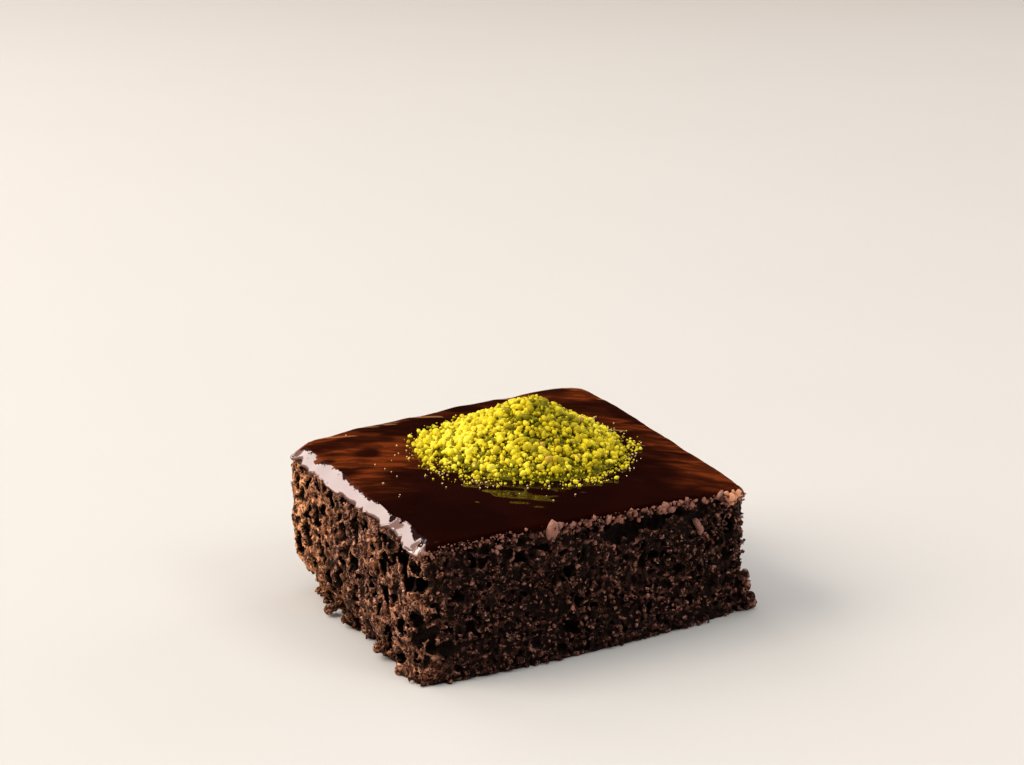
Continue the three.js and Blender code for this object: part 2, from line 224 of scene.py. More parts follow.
def mesh_of(name, points, faces, material, smooth=True):
    """A mesh object from points in millimetres and faces with three or four corners each."""
    faces = [np.asarray(f, np.int32) for f in (faces if isinstance(faces, list) else [faces]) if len(f)]
    sizes = np.concatenate([np.full(len(f), f.shape[1], np.int32) for f in faces])
    loops = np.concatenate([f.ravel() for f in faces])
    mesh = bpy.data.meshes.new(name)
    mesh.vertices.add(len(points))
    mesh.vertices.foreach_set("co", (np.asarray(points, np.float32) * MM).ravel())
    mesh.loops.add(len(loops))
    mesh.loops.foreach_set("vertex_index", loops)
    mesh.polygons.add(len(sizes))
    mesh.polygons.foreach_set("loop_start", np.concatenate([[0], np.cumsum(sizes)[:-1]]).astype(np.int32))
    mesh.update(calc_edges=True)
    mesh.validate()
    return show(name, mesh, material, smooth)


def object_from(name, bm, material, smooth=True):
    """A mesh object from a bmesh in millimetres."""
    bmesh.ops.scale(bm, vec=(MM, MM, MM), verts=bm.verts)
    mesh = bpy.data.meshes.new(name)
    bm.to_mesh(mesh)
    bm.free()
    return show(name, mesh, material, smooth)


def values_of(collection, field, width=1):
    """One property of all the points in a mesh, as an array."""
    values = np.empty(len(collection) * width, np.float32)
    collection.foreach_get(field, values)
    return values.reshape(-1, width) if width > 1 else values


def points_of(obj):
    """A mesh's points in millimetres."""
    return values_of(obj.data.vertices, "co", 3) / MM


def mark(obj, name, values):
    """Stores one number for each point, for the materials to read."""
    attribute = obj.data.attributes.new(name, "FLOAT", "POINT")
    attribute.data.foreach_set("value", np.asarray(values, np.float32))


def settle(piece, node=None):
    """Puts a piece on the cake's one body, and hides the model's solid that it stands for, when one is
    named.
    """
    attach(piece, "root")
    if node:
        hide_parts(node)


def apply_modifier(obj, kind, **settings):
    modifier = obj.modifiers.new(kind.title(), kind)
    for key, value in settings.items():
        setattr(modifier, key, value)
    with bpy.context.temp_override(object=obj, active_object=obj, selected_objects=[obj]):
        bpy.ops.object.modifier_apply(modifier=modifier.name)


def largest_body(points, faces):
    """The points and faces of the largest connected surface, without loose scraps and sealed bubbles."""
    label = np.arange(len(points))
    links = np.concatenate([f[:, [k, (k + 1) % f.shape[1]]] for f in faces for k in range(f.shape[1])])
    while True:
        low = np.minimum(label[links[:, 0]], label[links[:, 1]])
        before = label.copy()
        np.minimum.at(label, links[:, 0], low)
        np.minimum.at(label, links[:, 1], low)
        label = label[label]
        if np.array_equal(before, label):
            break
    keep = label == np.bincount(label).argmax()
    renumber = np.cumsum(keep) - 1
    return points[keep], [renumber[f[keep[f[:, 0]]]] for f in faces]


def lump_template(corners, rough, seed):
    """An uneven round lump of radius 1 with about twice as many faces as corners."""
    rng = np.random.default_rng(seed)
    at = np.arange(corners) + 0.5
    height, turn = 1 - 2 * at / corners, at * GOLDEN_ANGLE
    width = np.sqrt(1 - height**2)
    points = np.stack([width * np.cos(turn), width * np.sin(turn), height], 1)
    points += rng.uniform(-0.6, 0.6, points.shape) / math.sqrt(corners)
    x, y, z = points.T
    points *= (1 + rough * (2 * noise(x + seed, y, z, 0.9, seed) - 1))[:, None]
    bm = bmesh.new()
    for point in points:
        bm.verts.new(point)
    hull = bmesh.ops.convex_hull(bm, input=bm.verts)
    bmesh.ops.delete(bm, geom=list({*hull["geom_interior"], *hull["geom_unused"]}), context="VERTS")
    bmesh.ops.recalc_face_normals(bm, faces=bm.faces)
    bm.verts.index_update()
    points = np.array([v.co for v in bm.verts])
    faces = np.array([[v.index for v in f.verts] for f in bm.faces])
    bm.free()
    return points, faces


def scatter(templates, places, sizes, rng, stretch=(0.7, 1.25)):
    """Copies of the lumps, each turned at random and uneven in its three widths, as one set of arrays."""
    points, faces, owner = [], [], []
    start = 0
    which = rng.integers(0, len(templates), len(places))
    for k, (base, base_faces) in enumerate(templates):
        mine = np.nonzero(which == k)[0]
        if not len(mine):
            continue
        turn = rng.normal(size=(len(mine), 4))
        turn /= np.linalg.norm(turn, axis=1, keepdims=True)
        w, a, b, c = turn.T
        spin = np.stack(
            [
                [1 - 2 * (b * b + c * c), 2 * (a * b - c * w), 2 * (a * c + b * w)],
                [2 * (a * b + c * w), 1 - 2 * (a * a + c * c), 2 * (b * c - a * w)],
                [2 * (a * c - b * w), 2 * (b * c + a * w), 1 - 2 * (a * a + b * b)],
            ]
        ).transpose(2, 0, 1)
        widths = rng.uniform(*stretch, (len(mine), 3)) * sizes[mine][:, None]
        turned = np.einsum("nij,npj->npi", spin, base[None] * widths[:, None]) + places[mine][:, None]
        points.append(turned.reshape(-1, 3))
        offsets = start + len(base) * np.arange(len(mine))
        faces.append((base_faces[None] + offsets[:, None, None]).reshape(-1, 3))
        owner.append(np.repeat(mine, len(base)))
        start += len(base) * len(mine)
    return np.concatenate(points), np.concatenate(faces), np.concatenate(owner)


class Nodes:
    """Short calls for building a material's node tree."""

    def __init__(self, name):
        self.material = bpy.data.materials.new(name)
        self.material.use_nodes = True
        self.tree = self.material.node_tree
        self.tree.nodes.clear()
        self.surface = self.add("ShaderNodeBsdfPrincipled")
        output = self.add("ShaderNodeOutputMaterial")
        self.join(self.surface.outputs["BSDF"], output.inputs["Surface"])
        self.place = self.add("ShaderNodeTexCoord").outputs["Object"]

    def add(self, kind, **settings):
        node = self.tree.nodes.new(kind)
        for key, value in settings.items():
            setattr(node, key, value)
        return node

    def join(self, output, socket):
        self.tree.links.new(output, socket)

    def put(self, socket, value):
        if isinstance(value, bpy.types.NodeSocket):
            self.join(value, socket)
        else:
            socket.default_value = value

    def noise(self, size, detail=2.0, rough=0.5, output="Fac", place=None, distortion=0.0):
        node = self.add("ShaderNodeTexNoise")
        self.join(place or self.place, node.inputs["Vector"])
        node.inputs["Scale"].default_value = 1 / (size * MM)
        node.inputs["Detail"].default_value = detail
        node.inputs["Roughness"].default_value = rough
        node.inputs["Distortion"].default_value = distortion
        return node.outputs[output]

    def streaks(self, size, drawn):
        """Noise drawn out along the sauce's ripples."""
        mapping = self.add("ShaderNodeMapping", vector_type="TEXTURE")
        self.join(self.place, mapping.inputs["Vector"])
        mapping.inputs["Rotation"].default_value = (0, 0, TURN)
        mapping.inputs["Scale"].default_value = (drawn, 1, drawn)
        return self.noise(size, 3, place=mapping.outputs["Vector"], distortion=0.5)

    def stirred(self, size, amount):
        """The place, pushed about by noise, so that a pattern on it has uneven edges."""
        centred = self.add("ShaderNodeVectorMath", operation="SUBTRACT")
        self.join(self.noise(size, 2, output="Color"), centred.inputs[0])
        centred.inputs[1].default_value = (0.5, 0.5, 0.5)
        pushed = self.add("ShaderNodeVectorMath", operation="MULTIPLY_ADD")
        self.join(centred.outputs[0], pushed.inputs[0])
        pushed.inputs[1].default_value = (amount * MM,) * 3
        self.join(self.place, pushed.inputs[2])
        return pushed.outputs[0]

    def chips(self, size, place):
        """Uneven chips: a number for each one, and how far a place is from its chip's edge."""
        found = []
        for feature, output in (("F1", "Color"), ("DISTANCE_TO_EDGE", "Distance")):
            node = self.add("ShaderNodeTexVoronoi", feature=feature)
            self.join(place, node.inputs["Vector"])
            node.inputs["Scale"].default_value = 1 / (size * MM)
            found.append(node.outputs[output])
        separate = self.add("ShaderNodeSeparateColor")
        self.join(found[0], separate.inputs[0])
        return separate.outputs[0], found[1]

    def attribute(self, name):
        return self.add("ShaderNodeAttribute", attribute_name=name).outputs["Fac"]

    def spread(self, value, low, high, to_low=0.0, to_high=1.0):
        node = self.add("ShaderNodeMapRange", interpolation_type="SMOOTHSTEP")
        self.join(value, node.inputs["Value"])
        for socket, number in zip(RANGE_SOCKETS, (low, high, to_low, to_high)):
            node.inputs[socket].default_value = number
        return node.outputs["Result"]

    def mix(self, share, a, b, blend="MIX"):
        node = self.add("ShaderNodeMix", data_type="RGBA", blend_type=blend)
        self.put(node.inputs["Factor"], share)
        for socket, value in ((node.inputs[6], a), (node.inputs[7], b)):
            self.put(socket, value if isinstance(value, bpy.types.NodeSocket) else (*value, 1))
        return node.outputs[2]

    def math(self, operation, *values):
        node = self.add("ShaderNodeMath", operation=operation)
        for socket, value in zip(node.inputs, values):
            self.put(socket, value)
        return node.outputs[0]

    def times(self, a, b):
        return self.math("MULTIPLY", a, b)

    def most(self, a, b):
        return self.math("MAXIMUM", a, b)

    def ramp(self, value, stops):
        node = self.add("ShaderNodeValToRGB")
        self.join(value, node.inputs["Fac"])
        elements = node.color_ramp.elements
        while len(elements) < len(stops):
            elements.new(0.5)
        for element, (position, colour) in zip(elements, stops):
            element.position = position
            element.color = (*colour, 1)
        return node.outputs["Color"]

    def bump(self, height, depth, strength=1.0):
        node = self.add("ShaderNodeBump")
        node.inputs["Strength"].default_value = strength
        node.inputs["Distance"].default_value = depth * MM
        self.join(height, node.inputs["Height"])
        self.join(node.outputs["Normal"], self.surface.inputs["Normal"])

    def set(self, **values):
        for name, value in values.items():
            self.put(self.surface.inputs[name.replace("_", " ").title().replace("Ior", "IOR")], value)


def faded(shade, share):
    return [share * c for c in shade]


def crumb_material(settings):
    n = Nodes("moist_crumb")
    place = n.stirred(1.1, 1.0)
    coarse, coarse_edge = n.chips(1.7, place)
    fine, fine_edge = n.chips(0.85, place)
    pits = n.times(n.spread(fine_edge, 0.05, 0.2), n.spread(fine, 0.62, 0.5))
    holes = n.times(n.spread(coarse_edge, 0.06, 0.22), n.spread(coarse, 0.42, 0.32))
    hollow = n.most(pits, holes)
    patches = n.spread(n.noise(8, 3), 0.35, 0.65)
    brown = n.mix(patches, settings.dark, settings.light)
    # Painted light: chips are lighter on the ridges, where less crumb is round them, and dimmer in crowded
    # places.
    painted_ridge_light = n.spread(n.attribute("full"), 0.52, 0.3, 0.4, 1.0)
    broad = n.times(n.spread(coarse, 0.8, 0.86), n.spread(coarse_edge, 0.05, 0.12))
    plate = n.most(n.spread(fine, 0.72, 0.95), broad)
    # Painted highlight: thin light rims along the edges of the small chips stand in for lit pore walls.
    rim = n.times(n.spread(fine_edge, 0.1, 0.02), n.spread(n.noise(2.2, 2), 0.42, 0.6, 0.1, 0.75))
    bright = n.times(n.most(plate, rim), painted_ridge_light)
    # The lightest chips take the chip colour: partly lighter crumb, partly painted glints of the wet crumb.
    brown = n.mix(bright, brown, settings.chip)
    # Painted backlight: at the back left the crumb and its webs are painted lighter and warmer, as if lit
    # from behind.
    lit = n.spread(n.attribute("painted_backlight"), 0.62, 0.98, 0.28, 0.8)
    backlit_crumb = n.mix(n.most(bright, n.times(painted_ridge_light, lit)), settings.backlit_crumb, settings.backlit_web)
    brown = n.mix(n.attribute("painted_backlight"), brown, backlit_crumb)
    # Painted shade: the pits and holes of the chip pattern are darkened almost to black.
    brown = n.mix(n.times(hollow, 0.9), brown, (0.0015, 0.0007, 0.0005))
    # Painted shade: deep pores and crowded hollows are darkened almost to black.
    deep = n.most(n.spread(n.attribute("depth"), 0.45, 1.7), n.spread(n.attribute("full"), 0.45, 0.62))
    n.set(base_color=n.mix(n.times(deep, 0.98), brown, (0.001, 0.0005, 0.0004)))
    wet = n.times(n.times(bright, n.spread(n.noise(0.7, 2), 0.4, 0.6)), n.math("SUBTRACT", 1.0, deep))
    n.set(roughness=n.spread(wet, 0.0, 1.0, 0.85, 0.22), coat_weight=n.spread(wet, 0.45, 0.9))
    n.set(specular_ior_level=0.2, specular_tint=(1, 0.62, 0.5, 1), coat_roughness=0.12)
    height = n.math("SUBTRACT", n.times(n.noise(0.5, 2), 0.5), hollow)
    n.bump(height, 0.5)
    return n.material


def grain_material(settings):
    n = Nodes("crumb_grain")
    tone = n.attribute("tone")
    # The lightest grains take the chip colour, partly painted glints.
    brown = n.ramp(tone, [(0, faded(settings.dark, 0.6)), (0.6, settings.light), (0.95, settings.chip)])
    # Painted backlight: grains at the back left are painted lighter, as if lit from behind.
    backlit_crumb = n.ramp(tone, [(0, faded(settings.backlit_crumb, 0.5)), (0.5, settings.backlit_crumb), (1, settings.backlit_web)])
    n.set(base_color=n.mix(n.attribute("painted_backlight"), brown, backlit_crumb), roughness=0.7, specular_ior_level=0.1)
    n.set(coat_weight=n.spread(tone, 0.55, 0.75), coat_roughness=0.13)
    n.bump(n.noise(0.4, 2), 0.1)
    return n.material


def glazed_material(settings):
    n = Nodes("glazed_crumb")
    # The glazed lumps' colours are partly their own and partly painted sheen.
    tones = [(0, settings.light), (0.45, settings.chip), (0.85, settings.glaze_and_sheen), (1, settings.lit_glaze)]
    body = n.ramp(n.attribute("tone"), tones)
    n.set(base_color=n.mix(n.spread(n.noise(1.3, 3), 0.3, 0.45), settings.light, body))
    n.set(roughness=0.45, specular_ior_level=0.2, specular_tint=(1, 0.7, 0.6, 1))
    n.bump(n.noise(0.8, 3), 0.3)
    return n.material


def sauce_material(settings):
    n = Nodes("set_chocolate_sauce")
    swirl = n.spread(n.noise(14, 3), 0.35, 0.7)
    deep = n.mix(swirl, settings.deep, faded(settings.deep, 1.5))
    lip = n.attribute("lip")
    torn = n.times(n.math("SUBTRACT", n.noise(2.4, 5, 0.62), 0.5), 5.0)
    scallops = n.times(n.math("SUBTRACT", n.noise(9, 1), 0.5), 4.5)
    torn = n.math("ADD", torn, scallops)
    # Painted highlight: the film is a pale colour along the shoulder, mostly on the left, under the strip
    # of light that the sauce mirrors there.
    film = n.times(n.spread(n.math("ADD", lip, torn), 0.45, 0.58), n.spread(lip, 0.05, 0.3))
    flat = n.spread(lip, -0.6, 0.0, 0.5, 0.02)
    streaks = n.streaks(1.9, 4.0)
    # Partly thinner, redder sauce and partly painted highlight: the streaks stand in for light mirrored on
    # the ripples.
    thin = n.times(n.attribute("thin"), n.spread(streaks, 0.42, 0.68, 0.45, 1.6))
    body = n.mix(thin, deep, settings.thin)
    # Partly thin sauce, partly painted rim light: a lighter line along the right and back brim.
    body = n.mix(n.attribute("brink_and_rim_light"), body, settings.brink_and_rim_light)
    n.set(base_color=n.mix(film, body, settings.film))
    n.set(roughness=0.4, specular_ior_level=0.0, coat_roughness=0.05, coat_ior=1.9)
    n.set(coat_weight=n.times(n.most(film, flat), n.attribute("shine")))
    n.bump(streaks, 0.05, 0.6)
    return n.material


def nut_material(settings):
    n = Nodes("ground_pistachio")
    tones = [(0, settings.shade), (0.22, settings.middle), (0.6, settings.bright), (0.88, settings.pale)]
    tones += [(0.95, settings.skin), (1, settings.dust)]
    body = n.ramp(n.attribute("tone"), tones)
    fleck = n.spread(n.noise(0.7, 3), 0.34, 0.72)
    n.set(base_color=n.mix(n.times(fleck, 0.3), body, faded(settings.middle, 0.7)))
    n.set(roughness=0.6, specular_ior_level=0.12)
    n.bump(n.noise(0.35, 3), 0.1, 0.7)
    return n.material


def floor_material(settings):
    n = Nodes("pale_floor")
    n.set(base_color=n.mix(n.noise(160, 2), settings.floor, faded(settings.floor, 0.97)), roughness=0.75)
    return n.material


def length(name, text, default, low, high):
    text += ", in millimetres"
    return FloatProperty(name=name, description=text, default=default, min=low, max=high)


def amount(name, text, default):
    return IntProperty(name=name, description=text, default=default, min=1)


def power(name, where, default):
    text = f"Power of the light {where}, in watts"
    return FloatProperty(name=name, description=text, default=default, min=0)


def colour(name, text, default):
    return FloatVectorProperty(name=name, description=text, default=default, subtype="COLOR", min=0, max=1)


class CakeCrumb(bpy.types.PropertyGroup):
    voxel: length("Fineness", "Spacing of the grid that the crumb is carved on", 0.37, 0.25, 2)
    coarse: length("Coarse bubbles", "Width of the bubbles on the left and the back", 5.3, 1, 8)
    fine: length("Clumps", "Width of the clumps on the front", 1.8, 0.8, 4)
    relief: length("Relief", "Depth of the small unevenness", 0.55, 0, 3)
    grains: amount("Grains", "Crumb grains on each part of the sides", 4200)
    dark: colour("Dark crumb", "Colour of the darker patches", (0.015, 0.0042, 0.0026))
    light: colour("Light crumb", "Colour of the lighter patches", (0.044, 0.0125, 0.0076))
    # Partly a lighter crumb colour, partly painted glints on the wet crumb.
    chip: colour("Wet chips", "Colour of the lightest chips on the front", (0.36, 0.145, 0.10))
    # Partly the lumps' own colour, partly painted sheen.
    glaze_and_sheen: colour("Glazed lumps", "Colour of the glazed lumps along the brim", (0.30, 0.135, 0.098))
    lit_glaze: colour("Lit glazed lumps", "Colour of those at the front right corner", (0.80, 0.36, 0.19))
    # Painted backlight: the next two colours paint the back left crumb and its webs as if lit from behind.
    backlit_crumb: colour("Golden crumb", "Colour of the crumb at the back left", (0.17, 0.043, 0.013))
    backlit_web: colour("Golden webs", "Colour of the thin walls between the left bubbles", (1.0, 0.45, 0.20))


class CakeSauce(bpy.types.PropertyGroup):
    thickness: length("Thickness", "How thick the sauce lies on the crumb", 1.5, 0.5, 5)
    ripple: length("Ripple", "Height of the slow ripples", 0.8, 0, 3)
    run: length("Run", "How far the sauce runs down below the brim on the left", 0.4, 0, 6)
    deep: colour("Deep sauce", "Colour where the sauce is thick", (0.0085, 0.0013, 0.0007))
    # Partly thinner sauce, partly painted highlight on the ripples.
    thin: colour("Thin sauce", "Colour where the sauce is thin", (0.14, 0.025, 0.005))
    # Painted highlight: a pale colour under the shoulder's mirrored strip of light.
    film: colour("Film", "Colour of the dry film along the cut edge", (0.17, 0.09, 0.075))
    # Partly thin sauce, partly painted rim light.
    brink_and_rim_light: colour("Brink", "Colour of the sauce where it thins out at the brim", (0.24, 0.055, 0.007))


class CakeHeap(bpy.types.PropertyGroup):
    half_length: length("Half length", "Half the length of the heap", 26.8, 5, 40)
    half_depth: length("Half depth", "Half the depth of the heap", 23.6, 5, 40)
    height: length("Height", "Height of the heap", 13.4, 2, 30)
    bits: amount("Bits", "Larger bits of nut on the heap", 1750)
    meal: amount("Meal", "Smaller bits between them", 3900)
    loose: amount("Loose bits", "Bits scattered on the sauce", 420)
    # Dark green bits; the same colour is the painted shade of the heap's core between the bits.
    shade: colour("Dark green", "Darkest bits", (0.12, 0.125, 0.002))
    middle: colour("Green", "Common bits", (0.46, 0.36, 0.007))
    bright: colour("Bright green", "Brightest bits", (0.83, 0.66, 0.016))
    pale: colour("Pale", "Pale yellow bits", (0.93, 0.79, 0.055))
    skin: colour("Skin", "Tan bits of skin", (0.58, 0.36, 0.045))
    dust: colour("Dust", "Fine pale specks on the sauce", (0.90, 0.62, 0.34))


class CakeStage(bpy.types.PropertyGroup):
    lens: FloatProperty(name="Lens", description="Focal length, in millimetres", default=70.3125, min=1)
    floor: colour("Floor", "Colour of the floor", (0.58, 0.565, 0.545))
    window: power("Back light", "behind", 41.0)
    low_window: power("Low light", "low down behind", 4.5)
    overhead: power("Overhead light", "above", 60.0)
    rim: power("Right light", "on the right", 12.0)
    front: power("Front light", "in front", 3.5)
    left: power("Left light", "on the left", 70.0)
    sky: FloatProperty(name="Room light", description="Strength of the light all round", default=0.3, min=0)


class Block:
    """The block's shape on a grid: how far each place lies outside its sides, and the height of its top."""

    def __init__(self, step):
        self.x = np.arange(-52, 52, step, dtype=np.float32)
        self.y = np.arange(-46, 46, step, dtype=np.float32)
        self.z = np.arange(-1.5, 44, step, dtype=np.float32)
        gx, gy = self.x[:, None], self.y[None, :]
        foot, _, _ = inside_distance(outline(FOOT, BOW_FOOT, 96), gx, gy)
        belly, _, _ = inside_distance(outline(BELLY, BOW_BELLY, 96), gx, gy)
        brim, self.nx, self.ny = brim_distance(gx, gy)
        level = top_height(gx, gy)
        shoulder, drop = by_side(SHOULDER, self.nx, self.ny), by_side(DROP, self.nx, self.ny)
        rounding = np.clip(1 + (brim + 0.5) / shoulder, 0, 1)
        self.top = level - drop * rounding**1.6
        low = ease(self.z / BELLY_HEIGHT)
        high = np.clip((self.z - BELLY_HEIGHT) / (level[:, :, None] - BELLY_HEIGHT), 0, 1)
        self.side = foot[:, :, None] * (1 - low) + belly[:, :, None] * low
        self.side += high * (brim - belly)[:, :, None]

    def cell(self, *place):
        """The grid's cell at each place."""
        axes = (self.x, self.y, self.z)
        return tuple(np.clip(np.searchsorted(axis, p), 0, len(axis) - 1) for axis, p in zip(axes, place))

    def at(self, px, py, pz):
        i, j, k = self.cell(px, py, pz)
        return self.side[i, j, k], self.nx[i, j], self.ny[i, j], self.top[i, j]

    def sector(self, k):
        """Below 0 in the wedge of the block that has side k on its outside."""
        (ax, ay), (bx, by) = BRIM[k], BRIM[(k + 1) % 4]
        x, y = self.x[:, None], self.y[None, :]
        first = (x * ay - y * ax) / math.hypot(ax, ay)
        second = (bx * y - by * x) / math.hypot(bx, by)
        return np.maximum(first, second)


# Larger holes in the front: middle, radius and how upright.
VOIDS = [
    ((4, -38.6, 31.0), 2.6, 1.0),
    ((9, -38.2, 28.0), 2.0, 1.3),
    ((14, -38.4, 30.5), 2.2, 1.1),
    ((23, -38.0, 31.5), 1.9, 1.2),
    ((30, -37.8, 27.0), 1.6, 1.4),
    ((-33, -40.0, 25.0), 1.9, 0.9),
    ((-41, -40.5, 8.0), 2.3, 0.8),
    ((-33, -41.0, 6.0), 1.8, 0.8),
    ((-22, -41.2, 10.5), 1.5, 0.8),
    ((-46, -39.0, 12.0), 1.7, 1.0),
    ((6.5, -38.3, 31.8), 1.9, 0.8),
    ((11.5, -38.2, 29.3), 1.9, 1.2),
    ((17.5, -38.2, 29.0), 1.6, 1.3),
    ((26.5, -37.9, 31.0), 1.9, 0.9),
    ((33.5, -37.8, 30.5), 1.5, 1.1),
    ((-38, -40.3, 29.0), 1.5, 0.8),
    ((-18, -39.6, 27.0), 1.5, 0.9),
    ((-4, -39.2, 23.5), 1.2, 0.8),
    ((-28, -40.8, 13.5), 1.4, 0.8),
    ((-38, -41.0, 3.8), 1.5, 0.7),
    ((40, -38.0, 16.0), 1.3, 1.1),
    ((21, -39.2, 12.0), 1.2, 0.8),
]

# The largest glazed lumps along the brim: middle and radius.
BRIM_LUMPS = [
    (-12.6, -38.2, 32.9, 1.5),
    (-10.9, -38.3, 33.3, 1.1),
    (30.0, -37.9, 26.2, 1.3),
    (30.9, -37.8, 24.8, 1.1),
    (38.6, -37.4, 32.6, 0.9),
    (39.8, -37.2, 31.7, 1.2),
    (41.0, -37.0, 32.7, 1.0),
    (41.6, -36.9, 30.9, 1.1),
    (42.8, -36.4, 32.2, 1.1),
    (43.6, -36.0, 31.0, 0.9),
    (44.2, -35.5, 32.4, 0.8),
    (40.4, -37.2, 30.0, 0.7),
    (36.6, -37.6, 33.0, 0.9),
    (3.5, -38.2, 32.4, 0.9),
    (-27.0, -38.5, 31.0, 0.9),
    (19.5, -37.9, 33.2, 0.9),
]

# The undercut at the back left foot, and the crumbs that stick out beside it.
UNDERCUTS = [((-49.5, 33.5, 5.6), 3.0, 0.8), ((-49.5, 27.0, 5.2), 2.3, 0.8), ((-48.9, 20.5, 6.4), 1.7, 0.8)]
FOOT_LUMPS = [
    ((-44.2, 27.6, 1.9), 2.3, 0.8),
    ((-45.0, 21.0, 2.4), 2.6, 0.9),
    ((-45.4, 12.5, 2.2), 2.4, 0.8),
    ((-46.2, 3.0, 2.0), 2.2, 0.9),
    ((-46.9, -8.5, 1.8), 2.3, 0.8),
    ((-47.5, -18.0, 2.2), 2.2, 0.8),
    ((-48.0, -29.0, 1.8), 2.1, 0.9),
]

# The corners that no bubble is cut from, and how far round them.
WHOLE_CORNERS = [(-48, 35), (46, -37)]
WHOLE_CORNER_REACH = 5

# How deep the crumb is carved, and how thick its four sides are, over a plain middle.
CARVED = 6.5
SIDE_THICKNESS = 8.5

# The crumb's field of distances is cut off this far from its surface.
FIELD_LIMIT = 3

# The crumbs that stick out at the front right foot.
CORNER_LUMPS = [
    ((45.3, -36.9, 9.4), 1.5, 1.5),
    ((45.7, -36.9, 6.4), 1.8, 1.3),
    ((46.1, -36.8, 3.6), 2.1, 1.0),
    ((46.9, -36.7, 1.7), 1.8, 0.8),
    ((46.4, -33.6, 2.1), 1.9, 0.9),
]


def painted_backlight_share(points):
    """Painted backlight: where the cut crumb is painted a lighter, warmer brown, as if lit from behind:
    most at the back left.
    """
    x, y, z = points.T
    left = ease((-x - 38) / 9)
    return left * (0.33 + 0.7 * ease((y - 2) / 30)) * (0.85 + 0.4 * (noise(x, y, z, 8, 61) - 0.5))


